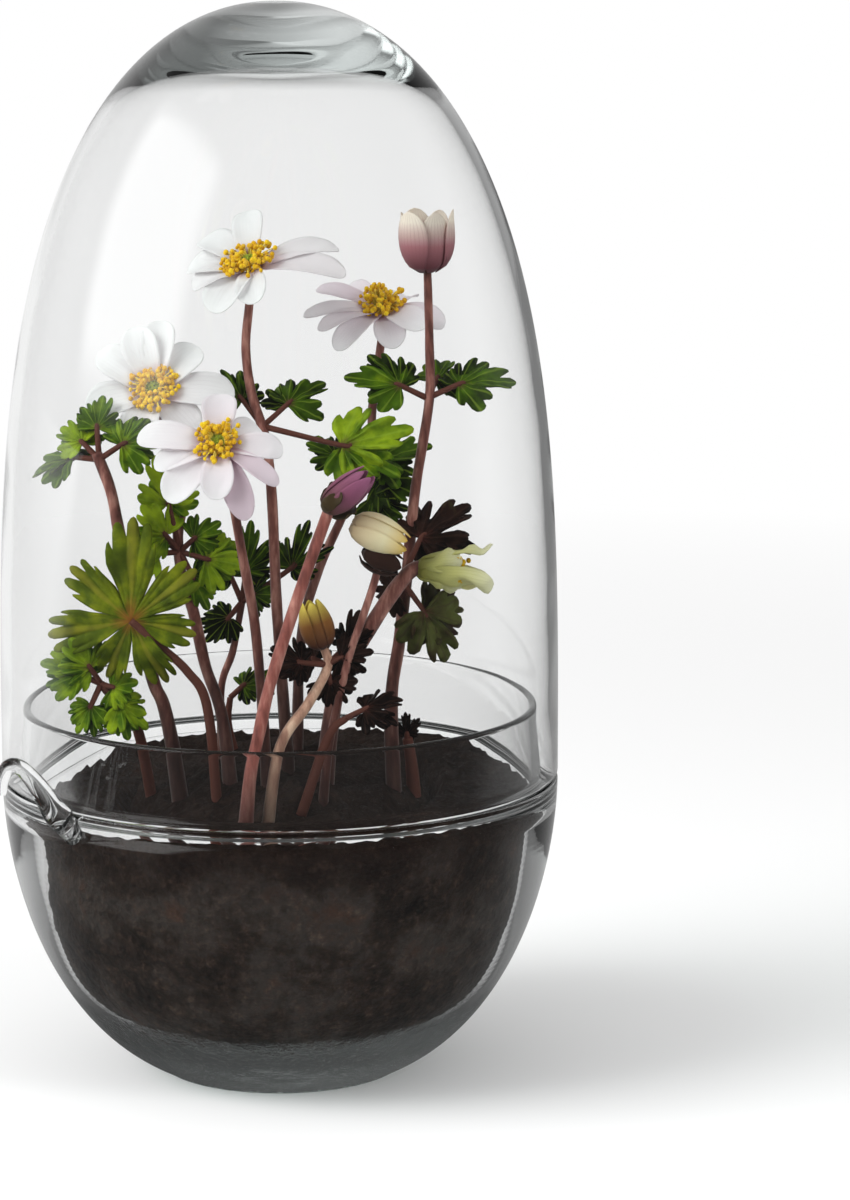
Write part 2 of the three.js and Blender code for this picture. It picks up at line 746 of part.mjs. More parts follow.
// The leaves that rise from the root ball on stalks of their own
const groundLeaves = {
  leaf_palmate: {
    radius: 1.3,
    points: [
      [-14.5, -26, 3],
      [-17, -28, 27.5],
      [-21.5, -29, 36],
      [-28, -30, 42.5],
      [-35, -30.5, 49],
    ],
    palm: { centre: [-35, -30.5, 49], radius: 19, lobes: 7, normal: [-0.15, -0.95, 0.25] },
  },
  leaf_low_left: {
    radius: 1.2,
    points: [
      [-31, -10, 0],
      [-36, -17, 23],
      [-41, -22, 29],
      [-43, -24, 32],
    ],
    leaves: [
      { base: [-45, -25, 33], tip: [-54, -26, 38], width: 13 },
      { base: [-44, -26, 29], tip: [-48, -29, 23], width: 8 },
      { base: [-41, -25.5, 29], tip: [-33, -27, 24], width: 10 },
    ],
  },
  leaf_low_centre: {
    radius: 1.1,
    material: youngBrown,
    points: [
      [6, -33, 3],
      [13, -32.5, 21],
      [17, -32, 25],
    ],
    leaves: [{ base: [18.5, -32, 26], tip: [28, -31, 30], width: 8 }],
  },
  leaf_back: {
    radius: 1,
    points: [
      [-11, 9, 4],
      [-13.5, 8, 15],
      [-13, 7.5, 22],
    ],
    leaves: [{ base: [-12, 7.5, 23.5], tip: [-4, 9.5, 29], width: 8 }],
  },
  shoot_tip: {
    radius: 1.6,
    material: youngBrown,
    points: [
      [33.5, -8, 0],
      [33, -8, 8],
      [32, -8, 15],
    ],
    leaves: [{ base: [32, -8, 14], tip: [31.5, -8.5, 21], width: 4.5, normal: [0, -1, 0.2] }],
  },
};

// Assembly
const greenhouse = new THREE.Group();
const add = (name, body, material) => greenhouse.add(piece(name, body, material));

const bowl = makeBowl();
add("glass_bowl", bowl, glass);
add("glass_hook", makeHook(bowl), glass);
add("glass_dome", makeDome(), glass);
add("potting_soil", makeSoil(), soil);
add("root_ball", ballShape(0), peat);

const stalkSpace = (name, gap) => rod(through(stalks[name].points), stalks[name].radii.map(grown), gap);
const gripRadius = (name) => grown(Math.max(...stalks[name].radii) + SLEEVE_WALL) + SEAT_GAP;

for (const [name, { material = stem }] of Object.entries(stalks)) {
  add(name, stalkSpace(name, 0).subtract(groundSpace), material);
}
for (const [name, entry] of Object.entries(flowers)) {
  const flower = { ...FLOWER, ...entry };
  add(`tepals_${name}`, tepals(flower).subtract(stalkSpace(flower.stalk, SEAT_GAP)), tepalWhite);
  add(`stamens_${name}`, brush(flower, 0), stamenGold);
}
for (const [name, entry] of Object.entries(whorls)) {
  const leaves = whorl({ ...entry, grip: gripRadius(entry.stalk) });
  add(name, leaves.subtract(stalkSpace(entry.stalk, SEAT_GAP)), entry.material ?? leafGreen);
}
for (const [name, entry] of Object.entries(buds)) {
  add(name, bud(entry).subtract(stalkSpace(entry.stalk, SEAT_GAP)), entry.material);
}
for (const [name, entry] of Object.entries(groundLeaves)) {
  const { radius, points, leaves = [], palm, material = leafGreen } = entry;
  const node = points[points.length - 1];
  const parts = [rod(through(points), [grown(radius), grown(radius)], 0, STALK_SIDES, 6)];
  parts.push(...leaves.map((leaf) => lobedLeaf(node, leaf)));
  if (palm) parts.push(palmateBlade(palm));
  add(name, joined(parts).subtract(groundSpace), material);
}

export default greenhouse;
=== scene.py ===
# %% [markdown]
# A mini greenhouse pot is a mouth-blown glass egg in two halves. The lower half is a bowl of potting
# soil, and the upper half is a dome that lifts off the planted bowl. This lesson builds the glass,
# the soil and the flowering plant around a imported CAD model, which fixes the place and the size of
# each piece.

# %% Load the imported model
import math
import random

import bmesh
import bpy
from mathutils import Matrix, Vector, noise


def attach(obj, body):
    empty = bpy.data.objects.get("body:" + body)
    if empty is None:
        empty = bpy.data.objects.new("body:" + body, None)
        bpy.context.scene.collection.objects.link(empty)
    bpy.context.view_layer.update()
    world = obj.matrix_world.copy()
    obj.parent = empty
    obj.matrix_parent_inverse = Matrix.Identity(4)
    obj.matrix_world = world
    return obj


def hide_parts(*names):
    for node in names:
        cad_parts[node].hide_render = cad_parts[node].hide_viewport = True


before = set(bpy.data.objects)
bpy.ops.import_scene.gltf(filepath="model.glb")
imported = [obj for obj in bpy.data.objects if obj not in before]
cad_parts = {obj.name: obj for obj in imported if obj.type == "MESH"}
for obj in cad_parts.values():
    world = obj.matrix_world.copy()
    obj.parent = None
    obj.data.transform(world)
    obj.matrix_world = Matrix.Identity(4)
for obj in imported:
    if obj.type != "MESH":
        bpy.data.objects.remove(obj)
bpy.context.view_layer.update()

scene = bpy.context.scene

# %% [markdown]
# The camera stands a metre off, a little above the egg and to its right, with a long lens. A long
# lens keeps the egg's sides nearly parallel, as in a catalogue picture. Light that crosses two
# shells of thick glass needs many bounces, so the bounce limits go up: at the usual ones the lens of
# glass at the top of the dome turns black.

# %% Camera
camera_data = bpy.data.cameras.new("catalogue_camera")
camera_data.lens = 129
camera_data.sensor_width = 36
camera = bpy.data.objects.new("catalogue_camera", camera_data)
scene.collection.objects.link(camera)
camera.location = (0.03647, -1.06144, 0.31287)
camera.rotation_euler = (math.radians(90 - 10.328), 0, 0)
scene.camera = camera
scene.cycles.max_bounces = 20
scene.cycles.glossy_bounces = 12
scene.cycles.transmission_bounces = 16
print("lens", camera_data.lens, "mm")

# %% [markdown]
# Two helpers serve every material. One turns a colour that is picked as sRGB hex into the linear
# values that Blender mixes light with. The other adds a shader node with its options, its inputs and
# the stops of its colour ramp in one call. Inputs come as a dict by name or number, or as a list in
# the node's own order. A Map Range node, for one, takes a value, from, from, to and to.

# %% Colour and node helpers
def colour(hex_code):
    """Turns an sRGB hex value into linear red, green, blue and alpha."""
    channels = [int(hex_code[i:i + 2], 16) / 255 for i in (0, 2, 4)]
    linear = [c / 12.92 if c <= 0.04045 else ((c + 0.055) / 1.055) ** 2.4 for c in channels]
    return (*linear, 1.0)


def add_node(tree, kind, inputs=(), out=None, stops=(), **options):
    """Adds a node with its options, inputs and ramp stops. Gives the node, or one output of it."""
    node = tree.nodes.new("ShaderNode" + kind)
    for option, value in options.items():
        setattr(node, option, value)
    for name, value in inputs.items() if isinstance(inputs, dict) else enumerate(inputs):
        if isinstance(value, bpy.types.NodeSocket):
            tree.links.new(value, node.inputs[name])
        else:
            node.inputs[name].default_value = value
    if stops:
        elements = node.color_ramp.elements
        while len(elements) < len(stops):
            elements.new(0.5)
        for element, (position, hex_code) in zip(elements, stops):
            element.position = position
            element.color = colour(hex_code)
    return node if out is None else node.outputs[out]


def new_material(name):
    """Starts a material with an empty node tree."""
    material = bpy.data.materials.new(name)
    material.use_nodes = True
    material.node_tree.nodes.clear()
    return material, material.node_tree


print("white", colour("FFFFFF"), "mid grey", colour("808080")[0])

# %% [markdown]
# The egg stands in a plain white studio. Clear glass only shows what it bends and mirrors, so the
# room is split by the kind of ray. It is white for what the camera sees past and through the glass,
# dim for mirrored light, and dim for what comes down steeply. The mirrored room is dark in front,
# white at the back left and grey at the back right, which draws the edges of the glass.

# %% Studio world
DARK_FRONT = 0.06  # the room behind the camera, as the glass mirrors it
LEFT_BACK = 0.9  # the white backdrop at the left, as the glass mirrors it
RIGHT_BACK = 0.2  # the shaded backdrop at the right, as the glass mirrors it
AMBIENT_ROOM = 0.63  # how much light the room gives matt things
world = bpy.data.worlds.new("white_studio")
scene.world = world
world.use_nodes = True
sky = world.node_tree
sky.nodes.clear()
path = add_node(sky, "LightPath").outputs
axes = add_node(sky, "SeparateXYZ", [add_node(sky, "TexCoord", out="Generated")]).outputs
overhead = add_node(sky, "MapRange", [axes["Z"], 0.25, 0.7, 1.0, 0.35], 0)
side_level = add_node(sky, "MapRange", [axes["X"], -0.6, 0.6, LEFT_BACK, RIGHT_BACK], 0)
behind = add_node(sky, "MapRange", [axes["Y"], -0.1, 0.6, DARK_FRONT, side_level], 0,
                  interpolation_type="SMOOTHSTEP")
mirrored = add_node(sky, "Math", [path["Glossy Depth"], 0.5], 0, operation="GREATER_THAN")
room = add_node(sky, "Mix", {0: mirrored, 2: 1.0, 3: behind}, 0)
glassy = add_node(sky, "Math", [path["Is Glossy Ray"], path["Is Transmission Ray"]], 0,
                  operation="MAXIMUM")
clear = add_node(sky, "Math", [glassy, path["Is Diffuse Ray"]], 0, operation="SUBTRACT",
                 use_clamp=True)
dimmed = add_node(sky, "Math", [room, overhead], 0, operation="MULTIPLY")
sharp = add_node(sky, "Math", [clear, dimmed], 0, operation="MULTIPLY")
seen = add_node(sky, "Math", [path["Is Camera Ray"], sharp], 0, operation="ADD")
strength = add_node(sky, "Math", [path["Is Diffuse Ray"], AMBIENT_ROOM, seen], 0,
                    operation="MULTIPLY_ADD")
backdrop = add_node(sky, "Background", {"Color": (1, 1, 1, 1), "Strength": strength}, 0)
add_node(sky, "OutputWorld", {"Surface": backdrop})
print("world nodes", len(sky.nodes))

# %% [markdown]
# The egg stands on matt white paper, which takes its shadow. The paper is lit near the egg, and from
# 0.3 to 0.9 m away it turns into even white light, so that its far part looks like the backdrop
# through the glass. Mirrored rays get the same dark front and white back as they get from the room.

# %% Floor
FLOOR_HALF = 40.0
floor_material, tree = new_material("matt_white_studio_paper")
path = add_node(tree, "LightPath").outputs
mirrored = add_node(tree, "Math", [path["Glossy Depth"], 0.5], 0, operation="GREATER_THAN")
spot = add_node(tree, "TexCoord", out="Object")
far = add_node(tree, "VectorMath", [spot], "Value", operation="LENGTH")
distant = add_node(tree, "MapRange", [far, 0.3, 0.9, 0.0, 1.0], 0)
axes = add_node(tree, "SeparateXYZ", [spot]).outputs
side_level = add_node(tree, "MapRange", [axes["X"], -0.3, 0.3, LEFT_BACK, RIGHT_BACK], 0)
behind = add_node(tree, "MapRange", [axes["Y"], -0.05, 0.25, DARK_FRONT, side_level], 0,
                  interpolation_type="SMOOTHSTEP")
level = add_node(tree, "Mix", {0: mirrored, 2: distant, 3: behind}, 0)
not_matt = add_node(tree, "Math", [1.0, path["Is Diffuse Ray"]], 0, operation="SUBTRACT")
glow = add_node(tree, "Math", [level, not_matt], 0, operation="MULTIPLY")
fade = add_node(tree, "Math", [distant, mirrored], 0, operation="MAXIMUM")
paper = add_node(tree, "BsdfPrincipled", {
    "Base Color": add_node(tree, "ValToRGB", [fade], 0, [(0.0, "F4F4F4"), (1.0, "000000")]),
    "Roughness": 0.8, "Specular IOR Level": 0.0,
    "Emission Color": (1, 1, 1, 1), "Emission Strength": glow,
}, 0)
add_node(tree, "OutputMaterial", {"Surface": paper})
shape = bmesh.new()
bmesh.ops.create_grid(shape, x_segments=1, y_segments=1, size=FLOOR_HALF)
floor_mesh = bpy.data.meshes.new("studio_floor")
shape.to_mesh(floor_mesh)
shape.free()
floor_mesh.materials.append(floor_material)
floor = bpy.data.objects.new("studio_floor", floor_mesh)
scene.collection.objects.link(floor)
print("floor", tuple(floor.dimensions))


# %% [markdown]
# A large softbox at the left gives the key light, and a small one at the right fills the shadows.
# The glass mirrors only the large one, as a pale veil with soft sides, so its light fades out
# towards its edges. A second lamp in the same place adds key light that the glass doesn't show.

# %% Softboxes
def softbox(name, place, width, height, power, shows):
    """An area lamp that faces the egg and fades out towards its edges."""
    lamp = bpy.data.lights.new(name, "AREA")
    lamp.shape = "RECTANGLE"
    lamp.size = width
    lamp.size_y = height
    lamp.energy = power
    lamp.use_nodes = True
    tree = lamp.node_tree
    tree.nodes.clear()
    across = add_node(tree, "NewGeometry", out="Parametric")
    centred = add_node(tree, "VectorMath", [across, (0.5, 0.5, 0)], 0, operation="SUBTRACT")
    outwards = add_node(tree, "VectorMath", [centred], 0, operation="ABSOLUTE")
    sides = add_node(tree, "SeparateXYZ", [outwards]).outputs
    fades = [add_node(tree, "MapRange", [sides[axis], 0.3, 0.5, 1.0, 0.0], 0,
                      interpolation_type="SMOOTHSTEP") for axis in ("X", "Y")]
    both = add_node(tree, "Math", fades, 0, operation="MULTIPLY")
    add_node(tree, "OutputLight", {"Surface": add_node(tree, "Emission", {"Strength": both}, 0)})
    holder = bpy.data.objects.new(name, lamp)
    scene.collection.objects.link(holder)
    holder.location = place
    towards = Vector((0, 0, 0.15)) - Vector(place)
    holder.rotation_euler = towards.to_track_quat("-Z", "Y").to_euler()
    holder.visible_glossy = shows
    holder.visible_transmission = shows


softbox("key_softbox", (-0.95, -0.35, 0.72), 1.35, 1.2, 9, True)
softbox("key_spill", (-0.9, -0.4, 0.8), 0.8, 0.8, 15, False)
softbox("fill_softbox", (0.9, -0.6, 0.6), 0.5, 0.5, 8, False)
print("two softboxes and the spill of the first")


# %% [markdown]
# Every piece is drawn in millimetres with bmesh and then scaled to metres. Each bmesh carries a UV
# map, which runs across and along a leaf or a petal, and a tone, which lets one material tint each
# part. Smooth shading across one long face would bend light like a lens, so the bowl's outline gets
# extra rings beside its arcs and along its straights.

# %% Piece helpers
MM = 0.001


def new_shape():
    """An empty bmesh with a UV map and a tone for each vertex."""
    bm = bmesh.new()
    bm.loops.layers.uv.new("UVMap")
    bm.verts.layers.float.new("tone")
    return bm


def finish_piece(bm, name, material, nodes, body="pot"):
    """Turns a bmesh in millimetres into a smooth piece in metres that stands for CAD nodes."""
    bmesh.ops.scale(bm, vec=(MM, MM, MM), verts=bm.verts)
    mesh = bpy.data.meshes.new(name)
    bm.to_mesh(mesh)
    bm.free()
    mesh.shade_smooth()
    mesh.materials.append(material)
    piece = bpy.data.objects.new(name, mesh)
    scene.collection.objects.link(piece)
    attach(piece, body)
    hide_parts(*nodes)
    print(name, len(mesh.polygons), "faces")
    return piece


def eased(profile, close=0.25, spread=4.0):
    """Adds points to a profile's long straights, so that smooth shading bends only at its arcs."""
    points = [profile[0]]
    for (r1, z1), (r2, z2) in zip(profile, profile[1:]):
        length = math.hypot(r2 - r1, z2 - z1)
        if length > 6 * close:
            count = max(int(length / spread), 1)
            shares = [close / length, *[i / count for i in range(1, count)], 1 - close / length]
            points += [(r1 + (r2 - r1) * share, z1 + (z2 - z1) * share) for share in shares]
        points.append((r2, z2))
    return points


def spun(bm, profile, steps):
    """Spins [radius, height] points round the Z axis into a closed shell."""
    points = [bm.verts.new((r, 0, z)) for r, z in profile]
    lines = [bm.edges.new(pair) for pair in zip(points, points[1:])]
    if profile[0][0] > 0 and profile[-1][0] > 0:
        lines.append(bm.edges.new((points[-1], points[0])))
    bmesh.ops.spin(bm, geom=points + lines, cent=(0, 0, 0), axis=(0, 0, 1),
                   angle=2 * math.pi, steps=steps, use_merge=True)
    bmesh.ops.remove_doubles(bm, verts=bm.verts, dist=0.001)
    bmesh.ops.recalc_face_normals(bm, faces=bm.faces)


# %% [markdown]
# The glass is soda-lime glass, blown into a mould and cut. It bends light with an IOR of 1.5, its
# surface waves a little, and it is faintly grey where it is thick, which volume absorption gives.
# Light for the plant passes straight through it, by a transparent shader for shadow and matt rays.
# The bowl's foot is mottled and slightly rough, so it shows as an even grey-green.

# %% Glass materials
def blown_glass(name, mottled):
    """Clear soda-lime glass; a mottled one turns slightly rough and uneven near its foot."""
    material, tree = new_material(name)
    path = add_node(tree, "LightPath").outputs
    place = add_node(tree, "TexCoord", out="Object")
    waves = add_node(tree, "TexNoise", {"Vector": place, "Scale": 45.0, "Detail": 1.0}, 0)
    bump = add_node(tree, "Bump", {"Strength": 0.5, "Distance": 0.0002, "Height": waves}, 0)
    rough = 0.0
    if mottled:
        height = add_node(tree, "SeparateXYZ", [place], "Z")
        low = add_node(tree, "MapRange", [height, 0.006, 0.022, 1.0, 0.0], 0)
        spots = add_node(tree, "TexNoise", {
            "Vector": place, "Scale": 110.0, "Detail": 5.0, "Roughness": 0.75}, 0)
        bump = add_node(tree, "Bump", {
            "Strength": add_node(tree, "Math", [low, 0.9], 0, operation="MULTIPLY"),
            "Distance": 0.003, "Height": spots, "Normal": bump}, 0)
        rough = add_node(tree, "Math", [low, 0.1], 0, operation="MULTIPLY")
    bent = add_node(tree, "BsdfGlass", {
        "Color": (1, 1, 1, 1), "Roughness": rough, "IOR": 1.5, "Normal": bump}, 0)
    open_way = add_node(tree, "BsdfTransparent", {"Color": colour("F3F6F5")}, 0)
    plain = add_node(tree, "MixShader", [path["Is Diffuse Ray"], bent, open_way], 0)
    surface = add_node(tree, "MixShader", [path["Is Shadow Ray"], plain, open_way], 0)
    tint = add_node(tree, "VolumeAbsorption", {
        "Color": (0.9, 0.925, 0.92, 1), "Density": 36.0}, 0)
    add_node(tree, "OutputMaterial", {"Surface": surface, "Volume": tint})
    return material


glass = blown_glass("blown_soda_lime_glass", False)
foot_glass = blown_glass("blown_glass_with_mottled_foot", True)
print(glass.name, foot_glass.name)

# %% [markdown]
# The egg's outline is two superellipse quadrants that meet at the seam, 75.5 mm up. The bowl's wall
# turns in to a ledge there, and an upright collar inside the dome keeps the dome in place. One spun
# profile makes the whole bowl: foot, side, ledge, collar, throat and cavity. Each quadrant has one
# power for how round it is and one for how it falls, both read off the outline.

# %% Bowl
BODY_RADIUS = 70
SEAM_HEIGHT = 75.5
TOTAL_HEIGHT = 268.5
BOWL_ROUND, BOWL_FALL = 2.712, 1.837
CAVITY_ROUND, CAVITY_FALL = 6, 1.05
FOOT_RADIUS = 29.5
FOOT_EDGE = 4.0  # the round edge of the foot
PUNT_RADIUS, PUNT_DEPTH = 20, 1.2  # the shallow hollow under the foot
COLLAR_RADIUS = 64.6
COLLAR_BORE = 62.7
COLLAR_HEIGHT = 19
FILLET = 2.5
SHOULDER = 1.2
THROAT_START = 68
BOWL_FLOOR = 10.5
GLASS_STEPS = 160


def superellipse(radius, height, roundness, fall, start, end, count):
    """Points on a superellipse quadrant, from the pole at 0 to the widest ring at a right angle."""
    angles = [start + (end - start) * i / count for i in range(count + 1)]
    return [(radius * math.sin(angle) ** (2 / roundness),
             height * max(math.cos(angle), 0) ** (2 / fall)) for angle in angles]


def arc(r, z, radius_r, radius_z, start, end, count):
    """Points on an arc, with angles in degrees from outwards towards up."""
    angles = [math.radians(start + (end - start) * i / count) for i in range(count + 1)]
    return [(r + radius_r * math.cos(a), z + radius_z * math.sin(a)) for a in angles]


def bowl_outside():
    share = FOOT_RADIUS / BODY_RADIUS
    depth = SEAM_HEIGHT / (1 - share ** BOWL_ROUND) ** (1 / BOWL_FALL)
    start = math.asin(share ** (BOWL_ROUND / 2))
    end = math.acos((SHOULDER / depth) ** (BOWL_FALL / 2))
    side = superellipse(BODY_RADIUS, depth, BOWL_ROUND, BOWL_FALL, start, end, 56)
    return [(r, SEAM_HEIGHT - h) for r, h in side]


def bowl_cavity(count=56):
    depth = SEAM_HEIGHT - BOWL_FLOOR
    end = math.acos(((SEAM_HEIGHT - THROAT_START) / depth) ** (CAVITY_FALL / 2))
    wall = superellipse(BODY_RADIUS - 3, depth, CAVITY_ROUND, CAVITY_FALL, 0, end, count)
    throat = arc(COLLAR_BORE, THROAT_START, wall[-1][0] - COLLAR_BORE, 5.5, 0, 90, 8)
    return [(r, SEAM_HEIGHT - h) for r, h in wall] + throat[1:]


rim = (COLLAR_RADIUS - COLLAR_BORE) / 2
outside = bowl_outside()
lean = math.atan2(outside[1][1] - outside[0][1], outside[1][0] - outside[0][0])
side = [point for point in outside if point[1] > FOOT_EDGE * (1 - math.cos(lean))]
foot_r = side[0][0] - FOOT_EDGE * math.sin(lean)
bowl_profile = [(PUNT_RADIUS * i / 10, PUNT_DEPTH * (0.5 + 0.5 * math.cos(math.pi * i / 10)))
                for i in range(11)]
bowl_profile += [(foot_r + FOOT_EDGE * math.sin(lean * i / 12),
                  FOOT_EDGE - FOOT_EDGE * math.cos(lean * i / 12)) for i in range(12)]
bowl_profile += side
bowl_profile += arc(BODY_RADIUS - SHOULDER, SEAM_HEIGHT - SHOULDER, SHOULDER, SHOULDER, 10, 90, 8)
bowl_profile += arc(COLLAR_RADIUS + FILLET, SEAM_HEIGHT + FILLET, FILLET, FILLET, 270, 180, 8)
bowl_profile += arc(COLLAR_RADIUS - rim, SEAM_HEIGHT + COLLAR_HEIGHT - rim, rim, rim, 0, 180, 10)
bowl_profile += bowl_cavity()[::-1]
shape = new_shape()
spun(shape, eased(bowl_profile), GLASS_STEPS)
finish_piece(shape, "glass_bowl_blown", foot_glass, ["glass_bowl"])

# %% [markdown]
# The dome's wall is 2.4 mm thick, and it runs up to a 13 mm lens at the top, where the blower's
# gather was. The lens gives the bright and dark patches under the top of the egg. The inner wall
# follows the outer one at that thickness, measured square to it.

# %% Dome
DOME_ROUND, DOME_FALL = 2.1, 3.166
DOME_WALL = 2.4
DOME_APEX = 13
LENS_RADIUS = 44
SEAT_GAP = 0.3


def dome_thickness(radius):
    share = min(max((LENS_RADIUS - radius) / LENS_RADIUS, 0), 1)
    return DOME_WALL + (DOME_APEX - DOME_WALL) * share * share * (3 - 2 * share)


def dome_point(angle):
    height = TOTAL_HEIGHT - SEAM_HEIGHT
    return superellipse(BODY_RADIUS, height, DOME_ROUND, DOME_FALL, angle, angle, 1)[0]


def dome_wall(inside, count=72):
    """Points down the dome's outer or inner wall."""
    points = []
    for i in range(count + 1):
        angle = math.pi / 2 * (i / count) ** 1.15
        r, h = dome_point(angle)
        r1, h1 = dome_point(max(angle - 0.01, 0))
        r2, h2 = dome_point(min(angle + 0.01, math.pi / 2))
        depth = dome_thickness(r) / math.hypot(r2 - r1, h2 - h1) if inside else 0
        points.append((0 if i == 0 else r + (h2 - h1) * depth,
                       SEAM_HEIGHT + h - (r2 - r1) * depth))
    return points


rim = DOME_WALL / 2
rim_height = SEAM_HEIGHT + SEAT_GAP + rim
outside = [point for point in dome_wall(False) if point[1] > rim_height + rim]
inside = [point for point in dome_wall(True) if point[1] > rim_height + rim]
lip = arc(BODY_RADIUS - rim, rim_height, rim, rim, 0, -180, 12)
shape = new_shape()
spun(shape, outside + lip + inside[::-1], GLASS_STEPS)
finish_piece(shape, "glass_dome_blown", glass, ["glass_dome"], body="dome")


# %% [markdown]
# Rings of points along a smooth path, bridged one to the next, make a tube of any course. The path
# is a Catmull-Rom curve, which passes through each point that is chosen. The same helper makes the
# hook, the stalks, the leaf stalks and the stamens.

# %% Tubes along a path
def smooth_path(points, steps):
    """Samples a Catmull-Rom curve through points, evenly by its parameter."""
    knots = [Vector(p) for p in points]
    knots = [2 * knots[0] - knots[1], *knots, 2 * knots[-1] - knots[-2]]
    samples = []
    for i in range(steps + 1):
        place = i / steps * (len(knots) - 3)
        k = min(int(place), len(knots) - 4)
        t = place - k
        a, b, c, d = knots[k:k + 4]
        samples.append(0.5 * (2 * b + (c - a) * t + (2 * a - 5 * b + 4 * c - d) * t ** 2
                              + (3 * b - a - 3 * c + d) * t ** 3))
    return samples


def along(values, t):
    """A value along a list of evenly spread ones."""
    place = min(max(t, 0), 1) * (len(values) - 1)
    i = min(int(place), len(values) - 2)
    return values[i] + (values[i + 1] - values[i]) * (place - i)


def tube(bm, points, radii, sides=10, tones=(0, 1)):
    """Bridges rings along a path into a closed tube."""
    tone = bm.verts.layers.float["tone"]
    rings = []
    turn = None
    for i, point in enumerate(points):
        ahead = points[min(i + 1, len(points) - 1)] - points[max(i - 1, 0)]
        ahead.normalize()
        turn = ahead.to_track_quat("Z", "Y") if turn is None else (
            turn @ Vector((0, 0, 1))).rotation_difference(ahead) @ turn
        share = i / (len(points) - 1)
        place = Matrix.Translation(point) @ turn.to_matrix().to_4x4()
        made = bmesh.ops.create_circle(bm, segments=sides, radius=along(radii, share),
                                       matrix=place)
        for vert in made["verts"]:
            vert[tone] = along(tones, share)
        rings.append(list({edge for vert in made["verts"] for edge in vert.link_edges}))
        if i:
            bmesh.ops.bridge_loops(bm, edges=rings[-2] + rings[-1])
    for ring in (rings[0], rings[-1]):
        bmesh.ops.edgeloop_fill(bm, edges=ring)


print("halfway between 1, 2 and 4:", along([1, 2, 4], 0.5))

# %% [markdown]
# The hook was pulled from the hot glass of the bowl's shoulder, and its end curls over and sinks
# into a drop. Its path lies in one upright plane through the egg's axis, so its points are given as
# how far out from the glass and how far up from the seam they are.

# %% Hook
HOOK_BEARING = math.radians(224.5)
HOOK_PATH = [(-3, -5), (3.5, 1), (7, 6), (11, 11), (15, 14.4), (18, 14.6), (20, 11.9), (20.5, 8.4)]
HOOK_RADII = [3.2, 3.2, 2.6, 2.1, 1.9, 1.9, 1.8, 1.5]
hook_points = [
    Matrix.Rotation(HOOK_BEARING, 3, "Z") @ Vector((BODY_RADIUS + out, 0, SEAM_HEIGHT + up))
    for out, up in HOOK_PATH
]
shape = new_shape()
tube(shape, smooth_path(hook_points, 48), HOOK_RADII, sides=24)
bmesh.ops.recalc_face_normals(shape, faces=shape.faces)
finish_piece(shape, "glass_hook_pulled", glass, ["glass_hook"])

# %% [markdown]
# The soil is moist potting compost: charcoal-brown crumbs with lighter bits of bark. Its colour
# comes from two noise patterns, of about 17 mm clods and 2.6 mm crumbs, and it has next to no shine.
# It is redder in its top centimetre, and painted darker there as painted shade under the plant and
# inside the collar. Finer grit is drawn as a 2 mm cell pattern in the bump, coarser than the real
# grains, so that it still shows in the picture.

# %% Soil material
soil_look, tree = new_material("moist_potting_compost")
place = add_node(tree, "TexCoord", out="Object")
clods = add_node(tree, "TexNoise", {
    "Vector": place, "Scale": 60.0, "Detail": 5.0, "Roughness": 0.65}, 0)
crumbs = add_node(tree, "TexNoise", {
    "Vector": place, "Scale": 380.0, "Detail": 3.0, "Roughness": 0.75}, 0)
grit = add_node(tree, "TexVoronoi", {
    "Vector": place, "Scale": 520.0, "Randomness": 1.0}, "Distance")
dark = add_node(tree, "ValToRGB", [clods], 0, [
    (0.32, "110D0C"), (0.48, "2A211D"), (0.58, "3A3431"), (0.72, "452F26")])
light = add_node(tree, "ValToRGB", [crumbs], 0, [
    (0.38, "100D0B"), (0.55, "32241E"), (0.66, "5A463A"), (0.74, "7C6654")])
mixed = add_node(tree, "Mix", {0: 0.24, 6: dark, 7: light}, 2, data_type="RGBA")
height = add_node(tree, "SeparateXYZ", [place], "Z")
# The top turns redder, and darker as painted shade under the plant and inside the collar.
redder_shaded_top = add_node(tree, "MapRange", [height, 0.055, 0.07, 0.0, 0.6], 0)
mixed = add_node(tree, "Mix", {0: redder_shaded_top, 6: mixed, 7: colour("1C0E0A")}, 2, data_type="RGBA")
rough = add_node(tree, "Math", [grit, 0.8, crumbs], 0, operation="MULTIPLY_ADD")
bump = add_node(tree, "Bump", {"Strength": 0.9, "Distance": 0.0012, "Height": rough}, 0)
compost = add_node(tree, "BsdfPrincipled", {
    "Base Color": mixed, "Roughness": 0.95, "Specular IOR Level": 0.15, "Normal": bump}, 0)
add_node(tree, "OutputMaterial", {"Surface": compost})
print(soil_look.name)

# %% [markdown]
# The soil fills the bowl to just under the ledge. Its sides are pressed flat by the glass but keep
# small hollows, and its top is rough. A spun profile is pushed about with noise, and on its sides
# always inwards, so that it stays clear of the glass. At the left the soil is broken away from the
# glass and lower, and at the right it is heaped.

# %% Soil
SOIL_TOP = 71
SOIL_GAP = 0.9
LEFT_BREAK = 190  # the bearing, in degrees, where the soil is broken away
RIGHT_HEAP = 15  # the bearing where it is heaped


def facing(angle, degrees, power):
    """1 at a bearing, and 0 a quarter turn and more from it."""
    return max(0, math.cos(angle - math.radians(degrees))) ** power


